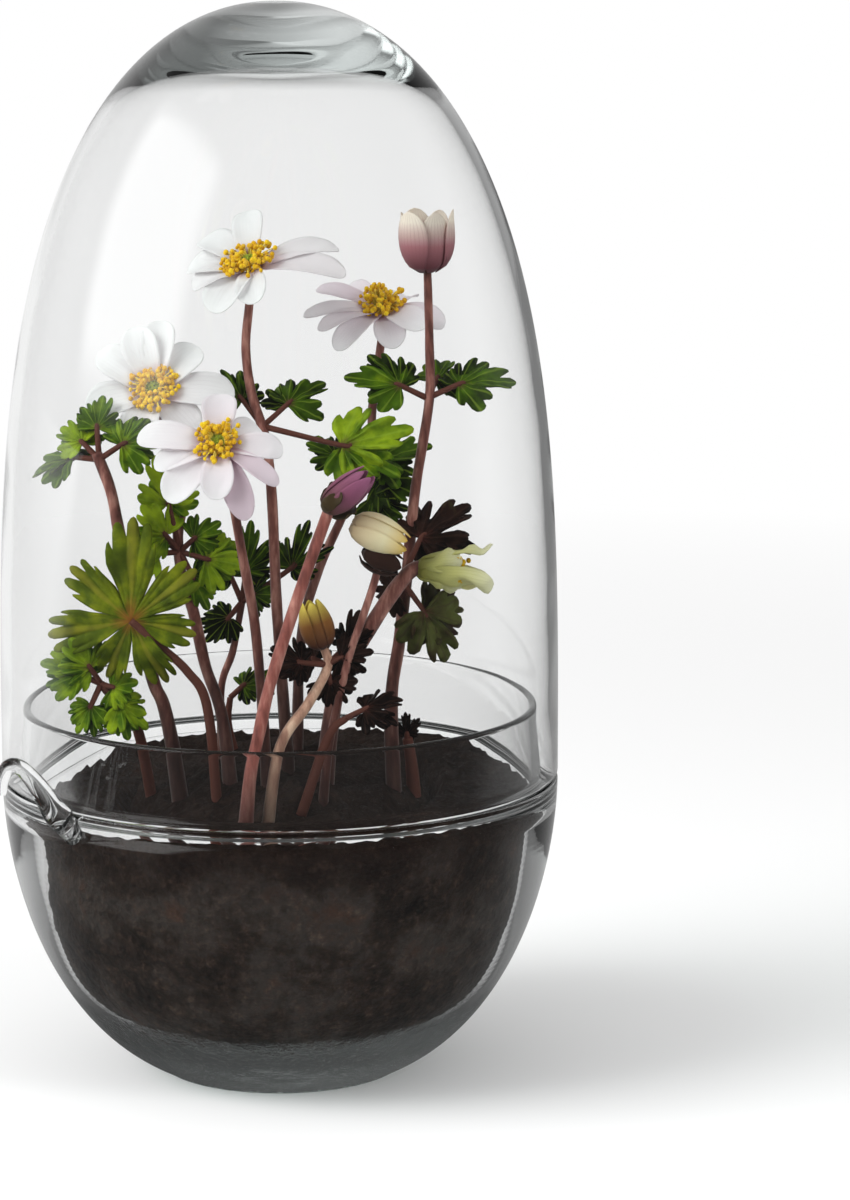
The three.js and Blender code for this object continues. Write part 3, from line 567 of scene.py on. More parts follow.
soil_profile = [(max(r - SOIL_GAP, 0), z + SOIL_GAP * (z < 40)) for r, z in bowl_cavity(80)]
soil_profile = [point for point in soil_profile if point[1] < SOIL_TOP]
rim_r = soil_profile[-1][0]
soil_profile += [(rim_r - 1.5 - i * 1.2, SOIL_TOP + 0.2) for i in range(19)]
soil_profile += [(rim_r - 26, SOIL_TOP - 5), (20, SOIL_TOP - 6), (0, SOIL_TOP - 6)]
shape = new_shape()
spun(shape, soil_profile, 280)
for vert in shape.verts:
    radius = math.hypot(vert.co.x, vert.co.y)
    bearing = math.atan2(vert.co.y, vert.co.x)
    crumb = noise.noise(vert.co * 0.9) * 0.5 + noise.noise(vert.co * 0.35)
    if radius > 1 and vert.co.z > 12:
        if vert.co.z < SOIL_TOP:
            broken = facing(bearing, LEFT_BREAK, 4) * min(max((vert.co.z - 40) / 25, 0), 1)
            press = 0.5 * max(0, crumb) + 0.9 * max(0, noise.noise(vert.co * 0.12) - 0.15)
            press += broken * (3.4 + 3.0 * noise.noise(vert.co * 0.16)
                               + 1.6 * noise.noise(vert.co * 0.5))
            vert.co.x *= 1 - press / radius
            vert.co.y *= 1 - press / radius
        if vert.co.z > SOIL_TOP - 12 and radius > 30:
            share = min((vert.co.z - SOIL_TOP + 12) / 12, 1)
            rise = 2.8 * facing(bearing, RIGHT_HEAP, 1.5) + 1.4 - 2.2 * facing(bearing, 192, 3)
            vert.co.z += share * (crumb * 1.4 + rise * (radius < 62))
bmesh.ops.recalc_face_normals(shape, faces=shape.faces)
finish_piece(shape, "potting_soil_fill", soil_look, ["potting_soil"])

# %% [markdown]
# The plant came in its own root ball, which shows as a low mound in the middle of the soil. It is a
# spun dome with a flat underside in its socket, and three sizes of noise make its top lumpy.

# %% Root ball
BALL_RADIUS = 38
BALL_RISE = 10
shape = new_shape()
ball_profile = [((BALL_RADIUS - 1) * i / 4, SOIL_TOP - 4) for i in range(4)]
ball_profile += [(BALL_RADIUS - 0.5, SOIL_TOP - 3), (BALL_RADIUS, SOIL_TOP - 1)]
ball_profile += [(BALL_RADIUS * math.sin(a) ** 0.9, SOIL_TOP + BALL_RISE * math.cos(a))
                 for a in [math.pi / 2 * (1 - i / 26) for i in range(26)]]
ball_profile += [(0, SOIL_TOP + BALL_RISE)]
spun(shape, ball_profile, 200)
for vert in shape.verts:
    if vert.co.z > SOIL_TOP - 2:
        lump = (noise.noise(vert.co * 0.13) * 1.8 + noise.noise(vert.co * 0.4) * 1.1
                + noise.noise(vert.co * 1.1) * 0.5)
        vert.co += Vector((vert.co.x / 60, vert.co.y / 60, 0.8)) * (lump - 0.9)
bmesh.ops.recalc_face_normals(shape, faces=shape.faces)
finish_piece(shape, "root_ball_mound", soil_look, ["root_ball"])

# %% [markdown]
# Stalks are fleshy and a little uneven, reddish brown, pink or pale. Their colour runs in long
# streaks, which a noise on stretched Object coordinates gives: 2.4 mm across and 11 mm along. A
# faint sheen stands for their fine down, and they turn dark towards their feet.

# %% Stalk materials
def stalk_material(name, dark_hex, middle_hex, light_hex):
    """Fleshy stalk with long streaks in three tones and a dark foot."""
    material, tree = new_material(name)
    place = add_node(tree, "TexCoord", out="Object")
    stretched = add_node(tree, "Mapping", {"Vector": place, "Scale": (1.0, 1.0, 0.22)}, 0)
    streaks = add_node(tree, "TexNoise", {
        "Vector": stretched, "Scale": 420.0, "Detail": 3.0, "Roughness": 0.6}, 0)
    flesh = add_node(tree, "ValToRGB", [streaks], 0, [
        (0.3, dark_hex), (0.5, middle_hex), (0.72, light_hex)])
    tone = add_node(tree, "Attribute", out="Fac", attribute_name="tone")
    # The lowest quarter of each stalk turns dark towards its foot.
    darker_foot = add_node(tree, "MapRange", [tone, 0.03, 0.28, 0.85, 0.0], 0)
    flesh = add_node(tree, "Mix", {0: darker_foot, 6: flesh, 7: colour("26120E")}, 2,
                     data_type="RGBA")
    bump = add_node(tree, "Bump", {"Strength": 0.35, "Distance": 0.0003, "Height": streaks}, 0)
    skin = add_node(tree, "BsdfPrincipled", {
        "Base Color": flesh, "Roughness": 0.55, "Sheen Weight": 0.25, "Sheen Roughness": 0.5,
        "Normal": bump}, 0)
    add_node(tree, "OutputMaterial", {"Surface": skin})
    return material


brown_stalk = stalk_material("red_brown_stalk", "46180F", "7A443A", "B47E70")
pink_stalk = stalk_material("pink_fleshy_stalk", "6A2E26", "985248", "C88A7C")
pale_stalk = stalk_material("pale_pink_stalk", "865C4C", "BC8E78", "DCB79E")
print(brown_stalk.name, pink_stalk.name, pale_stalk.name)

# %% [markdown]
# Eleven stalks rise from the root ball and lean apart. Each is a tube through points that are given
# as x, y and height above the soil, with a thicker foot and a slow noise in its thickness.

# %% Stalks
STALK_TRIM = 0.86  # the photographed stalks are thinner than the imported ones
STALKS = {
    "stalk_white_top": ([1.7, 1.2], brown_stalk, [
        (2.5, -12, 4), (1, -11, 27.5), (-0.5, -9, 50), (-1.5, -7, 75), (-3, -5, 89.5),
        (-6.5, -2, 100.5), (-8, 0, 111.5), (-7, 1, 124), (-6.5, 0, 131.5)]),
    "stalk_white_right": ([1.5, 1.2], brown_stalk, [
        (4, 4, 4), (5, 8, 36.5), (9.5, 12, 54), (17.5, 16, 71.5), (22.5, 18, 86.5),
        (23.5, 19, 96.5), (26.5, 19, 118.5)]),
    "stalk_white_left": ([1.8, 1.3], brown_stalk, [
        (-11.5, -18, 4), (-14, -17, 23), (-18, -14, 34.5), (-21, -11, 47.5), (-24, -8, 56),
        (-25, -6, 65.5), (-24, -4, 75.5), (-26.5, -1, 88), (-30, -2, 98), (-30.5, -3.5, 101)]),
    "stalk_white_front": ([1.5, 1.2], brown_stalk, [
        (-2.5, -20, 4), (-4, -21, 29.5), (-5.5, -22, 47.5), (-8, -23, 62.5), (-10.5, -24, 77.5),
        (-12.5, -24, 86), (-13.5, -25.6, 90.6)]),
    "stalk_tulip_bud": ([2, 1.6, 1.2], brown_stalk, [
        (28.5, -12, 0), (28, -11, 25), (30, -10, 40), (32, -9, 57.5), (34, -7, 77.5),
        (37.5, -4, 99.5), (37.5, -3, 114.5), (37, -2, 132.5)]),
    "stalk_purple_bud": ([1.9, 1.6], pink_stalk, [
        (-7.5, -40.5, -3), (-6, -40, 12.5), (-4, -38.5, 22), (-1, -35.5, 35), (6, -32, 56.5),
        (13.5, -30.2, 77.5)]),
    "stalk_yellow_bud": ([1.5, 1.4], pale_stalk, [
        (-2.5, -38.5, -3), (1, -37, 18.5), (8, -33, 29), (12.5, -28, 37), (11.5, -26, 42)]),
    "stalk_opening_bud": ([2.3, 2.1], brown_stalk, [
        (11, -20, 4), (14, -20, 27), (18, -21, 37), (25.5, -22, 50), (32, -22, 59), (36, -22, 61)]),
    "stalk_cream_bud": ([1.2, 1.1], brown_stalk, [
        (11, -28, 3), (13, -28, 18.5), (17.5, -28, 38.5), (21, -28, 49), (24.5, -27, 60),
        (25, -27, 67)]),
    "stalk_leafy_left": ([2, 1.6], brown_stalk, [
        (-23.5, -20, 2), (-27.5, -22, 24.5), (-30, -23, 31.5), (-32, -24, 40.5), (-35.5, -22, 55),
        (-38.5, -20, 69.5), (-40.5, -18, 79), (-44, -16, 88)]),
    "stalk_young": ([1.2, 1], brown_stalk, [
        (-14.5, 0, 4), (-15, 2, 25), (-12, 4, 35), (-9.5, 6, 48)]),
}


def above_soil(point):
    """A point of the plant, given as x, y and its height above the soil's surface."""
    x, y, height = point
    return Vector((x, y, height + SOIL_TOP))


for node, (radii, look, points) in STALKS.items():
    shape = new_shape()
    course = smooth_path([above_soil(p) for p in points], 10 * len(points))
    thickness = []
    for i, point in enumerate(course):
        swell = 1 + 0.10 * noise.noise(point * 0.12) + 0.25 * max(0, 1 - i / 12)
        thickness.append(STALK_TRIM * along(radii, i / (len(course) - 1)) * swell)
    tube(shape, course, thickness, 14)
    bmesh.ops.recalc_face_normals(shape, faces=shape.faces)
    finish_piece(shape, node + "_flesh", look, [node])

# %% [markdown]
# Leaves and petals are thin sheets. Each starts as a flat grid, and every point of the grid is moved
# to where the leaf or the petal has it, in a frame that runs from its base to its tip. The sheet
# then gets a real wall, so that its rim is closed.

# %% Sheets
def sheet(bm, across, up, place, tone_of):
    """Adds a grid and moves each point to place(u, v), with u from -1 to 1 and v from 0 to 1."""
    tone = bm.verts.layers.float["tone"]
    uv = bm.loops.layers.uv["UVMap"]
    made = bmesh.ops.create_grid(bm, x_segments=across, y_segments=up, size=1.0)
    spots = {vert: (vert.co.x, (vert.co.y + 1) / 2) for vert in made["verts"]}
    for vert, (u, v) in spots.items():
        vert.co = place(u, v)
        vert[tone] = tone_of
    for face in {face for vert in spots for face in vert.link_faces}:
        for loop in face.loops:
            u, v = spots[loop.vert]
            loop[uv].uv = ((u + 1) / 2, v)


def frame_of(base, tip, normal):
    """Turns a leaf's own axes (along, across, up) to base, tip and normal."""
    forward = (tip - base).normalized()
    up = (normal - forward * normal.dot(forward)).normalized()
    side = up.cross(forward)
    turn = Matrix((forward, side, up)).transposed().to_4x4()
    return Matrix.Translation(base) @ turn


def thicken(bm, wall):
    """Merges a sheet's doubles and gives it a wall."""
    bmesh.ops.remove_doubles(bm, verts=bm.verts, dist=0.02)
    bmesh.ops.dissolve_degenerate(bm, edges=bm.edges, dist=0.005)
    bmesh.ops.recalc_face_normals(bm, faces=bm.faces)
    bmesh.ops.solidify(bm, geom=bm.faces[:], thickness=wall)


print("across an upright leaf:", frame_of(Vector(), Vector((0, 0, 1)), Vector((0, -1, 0))).col[1])

# %% [markdown]
# A leaf of this plant is cut into three lobes, and each lobe into three rounded teeth. In polar form
# that is one radius for each angle round the leaf's base: a wide envelope, deep notches between the
# lobes, and shallow ones between the teeth. The blade is pleated along its lobes and droops towards
# its rim, and noise ruffles it, so that no two blades are alike.

# %% Leaf blades
LOBES, TEETH = 3, 3  # lobes in a blade, and teeth in a lobe
SPREAD = 1.9  # how far a blade reaches round its base to each side, in radians
PLEAT, DROOP = 0.2, 0.16  # as shares of the blade's length
PETIOLE_RADIUS = 0.8
STALK_TONE = (-1, -1)  # the tone that a leaf's material draws as stalk


def leaf_reach(u, cut=0.55, bite=0.24):
    """The place across a lobe, and the blade's outline there as a share of its length."""
    lobe = min((u + 1) / 2 * LOBES, LOBES - 1e-6)
    c = 2 * (lobe - math.floor(lobe)) - 1
    tooth = abs(math.cos(TEETH * math.pi * c / 2)) ** 0.55
    reach = (1 - 0.3 * u * u) * (1 - 0.18 * c * c) * (1 - cut * abs(c) ** 5)
    return c, reach * (1 - bite * (1 - tooth))


WIDEST = max(math.sin(i / 50 * SPREAD) * leaf_reach(i / 50, 0, 0)[1] for i in range(51))


def lobed_leaf(bm, base, tip, width, tone, normal, ruffle):
    """One blade from its base to its tip."""
    start, end = above_soil(base), above_soil(tip)
    place_in = frame_of(start, end, Vector(normal))
    length = (end - start).length
    seed = start * 0.37

    def place(u, v):
        angle = u * SPREAD
        c, reach = leaf_reach(u)
        step = (u + 1) / 2 * LOBES * TEETH
        tooth = math.floor(min(step, LOBES * TEETH - 1e-6))
        uneven = 1 + 0.16 * noise.noise(seed + Vector((tooth * 3.7, 0.4, 0.9)))
        r = reach * v * (uneven if abs(math.sin(step * math.pi)) > 0.3 else 1)
        x = length * r * math.cos(angle)
        y = width / 2 * r * math.sin(angle) / WIDEST
        wave = noise.noise(seed + Vector((x, y, 0)) * (7 / length))
        fold = math.cos(math.pi * c) * -0.5
        z = length * (PLEAT * fold * r - DROOP * r * r * (1 + 0.6 * wave)
                      + ruffle * wave * (0.3 + r))
        return place_in @ Vector((x, y, z))

    sheet(bm, LOBES * TEETH * 6, 9, place, tone)


def petiole(bm, joint, base, tip):
    """The short stalk that carries a leaf blade."""
    start, end = above_soil(base), above_soil(tip)
    course = smooth_path([above_soil(joint), start, start.lerp(end, 0.12)], 8)
    tube(bm, course, [PETIOLE_RADIUS * share for share in (1, 0.8, 0.5)], 8, STALK_TONE)


print("leaf outline", [round(leaf_reach(i / 9)[1], 2) for i in range(-9, 10)])

# %% [markdown]
# A leaf is soft green tissue under a thin waxy skin, and light shines through it. So a satin skin is
# mixed with a translucent shader. The tone of the blade and patches of about 5 mm take its colour
# from shade to sun, a pale vein and a pleat run to each tooth, and its base is flushed red brown.
# Young leaves have the same skin, in the dark bronze of a leaf that isn't green yet.

# %% Leaf materials
def leaf_material(name, veins, shade_hex, body_hex, sun_hex, vein_hex, blush_hex):
    """Thin satin leaf in three tones, with a fan of veins and a flushed base."""
    material, tree = new_material(name)
    uv = add_node(tree, "UVMap", out=0, uv_map="UVMap")
    across, up = add_node(tree, "SeparateXYZ", [uv]).outputs[:2]
    tone = add_node(tree, "Attribute", out="Fac", attribute_name="tone")
    place = add_node(tree, "TexCoord", out="Object")
    patches = add_node(tree, "TexNoise", {"Vector": place, "Scale": 190.0, "Detail": 3.0}, 0)
    change = add_node(tree, "Math", [patches, 0.5], 0, operation="SUBTRACT")
    level = add_node(tree, "Math", [change, 1.3, tone], 0, operation="MULTIPLY_ADD")
    blade = add_node(tree, "ValToRGB", [level], 0, [
        (0.0, shade_hex), (0.5, body_hex), (1.0, sun_hex)])
    turns = add_node(tree, "Math", [across, veins * 2 * math.pi], 0, operation="MULTIPLY")
    folds = add_node(tree, "Math", [turns], 0, operation="COSINE")
    fan = add_node(tree, "Math", [folds, -1.0], 0, operation="MULTIPLY")
    for share, hex_code in (
            (add_node(tree, "MapRange", [fan, 0.8, 1.0, 0.0, 0.4], 0), vein_hex),
            (add_node(tree, "MapRange", [up, 0.0, 0.28, 0.9, 0.0], 0), blush_hex),
            (add_node(tree, "MapRange", [tone, -1.0, -0.5, 1.0, 0.0], 0), "6E4238")):
        blade = add_node(tree, "Mix", {0: share, 6: blade, 7: colour(hex_code)}, 2,
                         data_type="RGBA")
    bump = add_node(tree, "Bump", {"Strength": 0.4, "Distance": 0.0005, "Height": fan}, 0)
    skin = add_node(tree, "BsdfPrincipled", {
        "Base Color": blade, "Roughness": 0.5, "Specular IOR Level": 0.2, "Normal": bump}, 0)
    lit = add_node(tree, "BsdfTranslucent", {"Color": blade}, 0)
    both = add_node(tree, "MixShader", [0.35, skin, lit], 0)
    add_node(tree, "OutputMaterial", {"Surface": both})
    return material


green_leaf = leaf_material(
    "anemone_green_leaf", 9, "141E00", "527406", "BCD424", "A2BE3C", "6B4A34")
palmate_leaf = leaf_material(
    "bronzed_green_leaf", 7, "2C3200", "5C6C0C", "A8AE1C", "A89A34", "A85C2A")
brown_leaf = leaf_material(
    "crinkled_young_leaf", 9, "160A08", "3A221A", "606432", "4C342C", "582A26")
print(green_leaf.name, palmate_leaf.name, brown_leaf.name)

# %% [markdown]
# A leaf is placed by its base and its tip. Its blade fills the outer part of that reach, and a short
# stalk of its own leads to it. A smaller twin, turned a little behind the blade and painted in more
# shade by a lower tone, makes the leaves overlap as they do on the real plant.

# %% Leaf pieces
FACING = (0, -0.6, 0.8)  # the usual direction that a blade faces
LEAF_WALL = 0.3
GROWTH = {"whorl_opening": 1.3, "whorl_yellow": 1.7, "leaf_low_left": 1.25, "leaf_low_centre": 1.3}
USUAL_GROWTH = 1.12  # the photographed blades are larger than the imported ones
TWIN_TURN = 0.75


def add_leaf(bm, turn, growth, base, tip, width, tone, normal=FACING, ruffle=0.1):
    """Adds a blade on the outer part of its reach, and its twin."""
    reach = (Vector(tip) - Vector(base)) * growth
    start, end = Vector(base) + reach * 0.25, Vector(base) + reach
    width = width * growth * 1.12
    lobed_leaf(bm, start, end, width, tone, normal, ruffle)
    axis = Vector(normal).normalized()
    behind = axis * -1.6
    swung = Matrix.Rotation(turn, 3, axis) @ (end - start) * 0.9
    # The twin's lower tone is painted shade behind the blade.
    lobed_leaf(bm, start + behind * 0.6, start + swung + behind, width * 0.9, tone - 0.22,
               normal, ruffle)


def leafy_piece(node, look, joint, leaves, stem=(), radius=0):
    """One piece of leaves on their short stalks, and the stem below them if it has its own."""
    growth = GROWTH.get(node, USUAL_GROWTH)
    shape = new_shape()
    for k, leaf in enumerate(leaves):
        add_leaf(shape, TWIN_TURN if k % 2 else -TWIN_TURN, growth, *leaf)
    thicken(shape, LEAF_WALL)
    for base, tip, *_ in leaves:
        reach = (Vector(tip) - Vector(base)) * growth
        petiole(shape, joint, Vector(base) + reach * 0.25, Vector(base) + reach)
    if stem:
        course = smooth_path([above_soil(p) for p in stem], 24)
        tube(shape, course, [radius * 1.2, radius, radius * 0.8], 10, STALK_TONE)
    finish_piece(shape, node + "_blades", look, [node])


print("usual growth", USUAL_GROWTH)

# %% [markdown]
# Most stalks carry a whorl, a ring of leaves at one joint. The table gives each whorl's material and
# joint, and then its leaves: base, tip, width and tone, and where they aren't the usual ones, the
# direction that the blade faces and how much it ruffles.

# %% Whorls of leaves
WHORLS = {
    "whorl_tulip": (green_leaf, (37, -4, 100), [
        ((34.5, -5, 102), (19.5, -8, 107), 13, 0.35, (0, -0.75, 0.65)),
        ((40, -4, 102.5), (57, -3, 106), 12, 0.3, (0.1, -0.6, 0.8)),
        ((38.5, -1, 102), (42, 11, 109), 10, 0.4, (0, -0.5, 0.85))]),
    "whorl_top": (green_leaf, (-3.8, -4.3, 93), [
        ((-6.5, -3, 97), (-15.5, 0.5, 106), 10, 0.3),
        ((-0.5, -3, 96), (10, 4, 104), 13, 0.25),
        ((11, -8, 87), (29.5, -13, 94), 16, 0.7, (0.1, -0.85, 0.5))]),
    "whorl_right": (green_leaf, (19.5, 17, 78), [
        ((22, 15.5, 79.5), (34, 10, 87), 15, 0.3),
        ((21.5, 14.5, 75), (29, 9, 66), 12, 0.25, (0.3, -0.8, -0.5)),
        ((16.5, 18, 80.5), (8, 20, 86), 10, 0.2),
        ((22, 15, 78), (33, 9, 75), 13, 0.1, (0, -0.9, 0.4))]),
    "whorl_left": (green_leaf, (-24.5, -7, 62), [
        ((-26, -8.5, 70), (-29.5, -10.5, 85), 12, 0.85, (0.2, -0.95, 0.2)),
        ((-21, -9.5, 61), (-9.5, -12, 60), 13, 0.75, (0, -0.9, 0.4)),
        ((-28, -5.5, 66), (-37, -4, 65), 9, 0.5),
        ((-26, -9, 64), (-32, -13, 73.5), 12, 0.85, (0, -0.85, 0.5)),
        ((-27, -9, 61.5), (-38.5, -13, 63), 11, 0.7, (0, -0.8, 0.6)),
        ((-22.5, -9.5, 59), (-18, -13, 50), 10, 0.5, (0, -0.95, 0.2)),
        ((-23, -8.5, 64), (-15.5, -9, 69.5), 10, 0.4, (0, -0.9, 0.4))]),
    "whorl_leafy_left": (green_leaf, (-43.4, -16.3, 86.5), [
        ((-46.5, -15, 87.5), (-60, -8, 84.5), 14, 0.4),
        ((-44.5, -14.5, 91), (-43, -10, 101), 9, 0.45, (0, -0.9, 0.4)),
        ((-45.5, -15, 89), (-53, -11, 94), 10, 0.7, (0, -0.9, 0.4)),
        ((-41, -17, 89.5), (-28.5, -18.5, 93), 13, 0.6, (0, -0.8, 0.6))]),
    "whorl_young": (green_leaf, (-9.7, 5.8, 47), [
        ((-9, 5, 51), (-7.5, 3, 66), 10, 0.3, (0, -1, 0.2)),
        ((-11.5, 5.5, 50.5), (-15, 5, 62), 8, 0.25, (0, -1, 0.2)),
        ((1.5, 5, 52), (6.5, 3, 66), 8, 0.2, (0, -1, 0.2)),
        ((-8.5, 5, 49), (-2.5, 1, 50), 9, 0.15, (0, -0.9, 0.4)),
        ((-11, 5, 45), (-18, 0, 39), 9, -0.1, (0, -0.9, 0.4))]),
    "whorl_opening": (brown_leaf, (30.6, -22, 57.5), [
        ((31, -14.5, 63), (44, -9, 73), 12, 0.3, (0, -0.8, 0.6), 0.14),
        ((33.5, -19, 54), (41, -14, 39), 13, 0.9, (0.2, -0.9, 0.2), 0.12),
        ((31, -20, 56), (25, -16, 52), 10, 0.4, (0, -0.9, 0.4), 0.12)]),
    "whorl_yellow": (brown_leaf, (12.4, -27.8, 37.5), [
        ((16.5, -25.5, 39), (18.5, -24, 46), 5, 0.1, FACING, 0.14),
        ((8.5, -31, 37), (3, -31, 41), 7, 0.1, FACING, 0.14),
        ((11, -25, 38), (6.5, -22, 38.5), 6, 0.2, (0, -0.9, 0.4), 0.14),
        ((12.4, -28.5, 36), (14, -29, 30.5), 7, 0.3, (0, -1, 0.1), 0.14),
        ((13.5, -27.5, 39), (19, -28, 40), 6, 0.15, (0, -1, 0.1), 0.16)]),
}
for node, (look, joint, leaves) in WHORLS.items():
    leafy_piece(node, look, joint, leaves)

# %% [markdown]
# Four leaves rise from the soil on stems of their own: a broad one at the left, a young brown one in
# front, a small one at the back, and the tip of a new shoot. The table adds the radius and the
# course of the stem, and the leaves join it at its end.

# %% Ground leaves
GROUND_LEAVES = {
    "leaf_low_left": (green_leaf, 1.2, [
        (-31, -10, 0), (-36, -17, 23), (-41, -22, 29), (-43, -24, 32)], [
        ((-45, -25, 33), (-54, -26, 38), 13, 0.6),
        ((-44, -26, 29), (-48, -29, 23), 8, 0.5),
        ((-41, -25.5, 29), (-33, -27, 24), 10, 0.7),
        ((-44, -25.5, 34), (-48.5, -27.5, 42), 11, 0.75, (0, -0.9, 0.4)),
        ((-42, -25.5, 31), (-36, -27.5, 33), 9, 0.65, (0, -0.9, 0.4))]),
    "leaf_low_centre": (brown_leaf, 1.1, [(6, -33, 3), (13, -32.5, 21), (17, -32, 25)], [
        ((18.5, -32, 26), (28, -31, 30), 8, 0.1, FACING, 0.14)]),
    "leaf_back": (green_leaf, 1, [(-11, 9, 4), (-13.5, 8, 15), (-13, 7.5, 22)], [
        ((-12, 7.5, 23.5), (-4, 9.5, 29), 8, 0.2)]),
    "shoot_tip": (brown_leaf, 1.6, [(33.5, -8, 0), (33, -8, 8), (32, -8, 15)], [
        ((32, -8, 14), (31.5, -8.5, 21), 4.5, 0.1, (0, -1, 0.2))]),
}
for node, (look, radius, stem, leaves) in GROUND_LEAVES.items():
    leafy_piece(node, look, stem[-1], leaves, stem, radius)

# %% [markdown]
# The leaf at the lower left is palmate: seven toothed leaflets spread all round its stalk, like the
# fingers of a hand. It is one sheet that goes once round the stalk, with a length for each leaflet,
# and it is pleated and drooping like the other blades.

# %% Palmate leaf
PALM_STALK = [
    (-14.5, -26, 3), (-17, -28, 27.5), (-21.5, -29, 36), (-28, -30, 42.5), (-35, -30.5, 49)]
PALM_LENGTHS = [18, 16, 20, 25, 20, 22, 17]
PALM_LOBES = len(PALM_LENGTHS)
PALM_TEETH = 5
palm_frame = frame_of(above_soil(PALM_STALK[-1]), above_soil((-35, -30.5, 60)),
                      Vector((-0.15, -0.95, 0.25)))


def palm_place(u, v):
    """A point of the leaf, with u round the stalk and v outwards."""
    lobe = min((u + 1) / 2 * PALM_LOBES, PALM_LOBES - 1e-6)
    c = 2 * (lobe - math.floor(lobe)) - 1
    tooth = abs(math.cos(PALM_TEETH * math.pi * c / 2)) ** 0.5
    r = PALM_LENGTHS[int(lobe)] * (1 - 0.6 * abs(c) ** 6) * (1 - 0.24 * c * c)
    r = r * (1 - 0.2 * (1 - tooth)) * v
    x, y = r * math.cos(u * math.pi), r * math.sin(u * math.pi)
    wave = noise.noise(Vector((x, y, 3)) * 0.15)
    z = 19 * (-0.07 * math.cos(math.pi * c) * v - 0.12 * v * v) + wave * 3.0 * v
    return palm_frame @ Vector((x, y, z))


shape = new_shape()
sheet(shape, PALM_LOBES * PALM_TEETH * 6, 10, palm_place, 0.55)
thicken(shape, LEAF_WALL)
course = smooth_path([above_soil(p) for p in PALM_STALK], 40)
tube(shape, course, [1.3, 1.1, 0.9], 12, STALK_TONE)
finish_piece(shape, "leaf_palmate_blade", palmate_leaf, ["leaf_palmate"])

# %% [markdown]
# A petal has a smooth, waxy skin, and it is thin enough for light to pass. So a satin skin with a
# faint sheen is mixed with a translucent shader. A ramp runs from the flushed base to the tip, and a
# low tone shades the petal with the colour of its base. Nine fine veins run along it, fewer and
# wider than the real ones, so that they show in the picture.

# %% Petal materials
PETAL_VEINS = 9


def petal_material(name, base_hex, body_hex, tip_hex, vein_hex, middle=0.22, tip_at=1.0,
                   mark_hex="E0B428"):
    """Thin waxy petal. A tone of -1 gives the mark, for what sits on or in the petals."""
    material, tree = new_material(name)
    uv = add_node(tree, "UVMap", out=0, uv_map="UVMap")
    across, up = add_node(tree, "SeparateXYZ", [uv]).outputs[:2]
    tone = add_node(tree, "Attribute", out="Fac", attribute_name="tone")
    petal = add_node(tree, "ValToRGB", [up], 0, [
        (0.0, base_hex), (middle, body_hex), (tip_at, tip_hex)])
    turns = add_node(tree, "Math", [across, PETAL_VEINS * 2 * math.pi], 0, operation="MULTIPLY")
    veins = add_node(tree, "Math", [turns], 0, operation="COSINE")
    for share, hex_code in (
            (add_node(tree, "MapRange", [veins, 0.6, 1.0, 0.0, 0.22], 0), vein_hex),
            (add_node(tree, "MapRange", [tone, 0.0, 0.5, 0.55, 0.0], 0), base_hex),
            (add_node(tree, "MapRange", [tone, -1.0, -0.5, 1.0, 0.0], 0), mark_hex)):
        petal = add_node(tree, "Mix", {0: share, 6: petal, 7: colour(hex_code)}, 2,
                         data_type="RGBA")
    skin = add_node(tree, "BsdfPrincipled", {
        "Base Color": petal, "Roughness": 0.5, "Specular IOR Level": 0.3, "Sheen Weight": 0.1}, 0)
    lit = add_node(tree, "BsdfTranslucent", {"Color": petal}, 0)
    both = add_node(tree, "MixShader", [0.3, skin, lit], 0)
    add_node(tree, "OutputMaterial", {"Surface": both})
    return material


white_petal = petal_material("white_anemone_petal", "D9B6C6", "F7F4F5", "FCFBFB", "E2D9DE")
blushed_petal = petal_material(
    "blushed_anemone_petal", "B87A9C", "FCF4F8", "FEFCFD", "EEDCE4", 0.2)
print(white_petal.name, blushed_petal.name)

# %% [markdown]
# A petal of this flower is a tepal: long, rounded at its tip, arched along its length and slightly
# cupped across. Each is placed by its own tip, because no two of them lie alike on a real flower.

# %% Tepals
BOW, CUP = 0.08, 0.16  # the arch as a share of the length, the cup as a share of the width


def tepal_outline(v):
    """The tepal's width along its length, as a share of its widest."""
    return (0.28 * (1 - v) + v ** 0.7) * max(0, 1 - v ** 4) ** 0.5 / 0.76


def tepal(bm, base, tip, width, normal, tone):
    """One tepal from its base to its tip, with its rows set closer towards the tip."""
    place_in = frame_of(base, tip, normal)
    length = (tip - base).length

    def place(u, s):
        v = 1 - (1 - s) ** 1.5
        x = length * v
        y = width / 2 * tepal_outline(v) * u
        z = length * BOW * 4 * v * (1 - v) + CUP * width * (tepal_outline(v) * u) ** 2
        z += 0.25 * noise.noise(base + Vector((x, y, 0)) * 0.5)
        return place_in @ Vector((x, y, z))

    sheet(bm, 10, 16, place, tone)


print("tepal outline", [round(tepal_outline(i / 8), 2) for i in range(9)])

# %% [markdown]
# Four flowers are open, two white and two faintly blushed. The table gives each flower's centre and
# the direction that it faces, and the tip, width and tone of each tepal, in millimetres from the
# foot of the pot. The bases form a small ring in three layers, so that the tepals overlap.

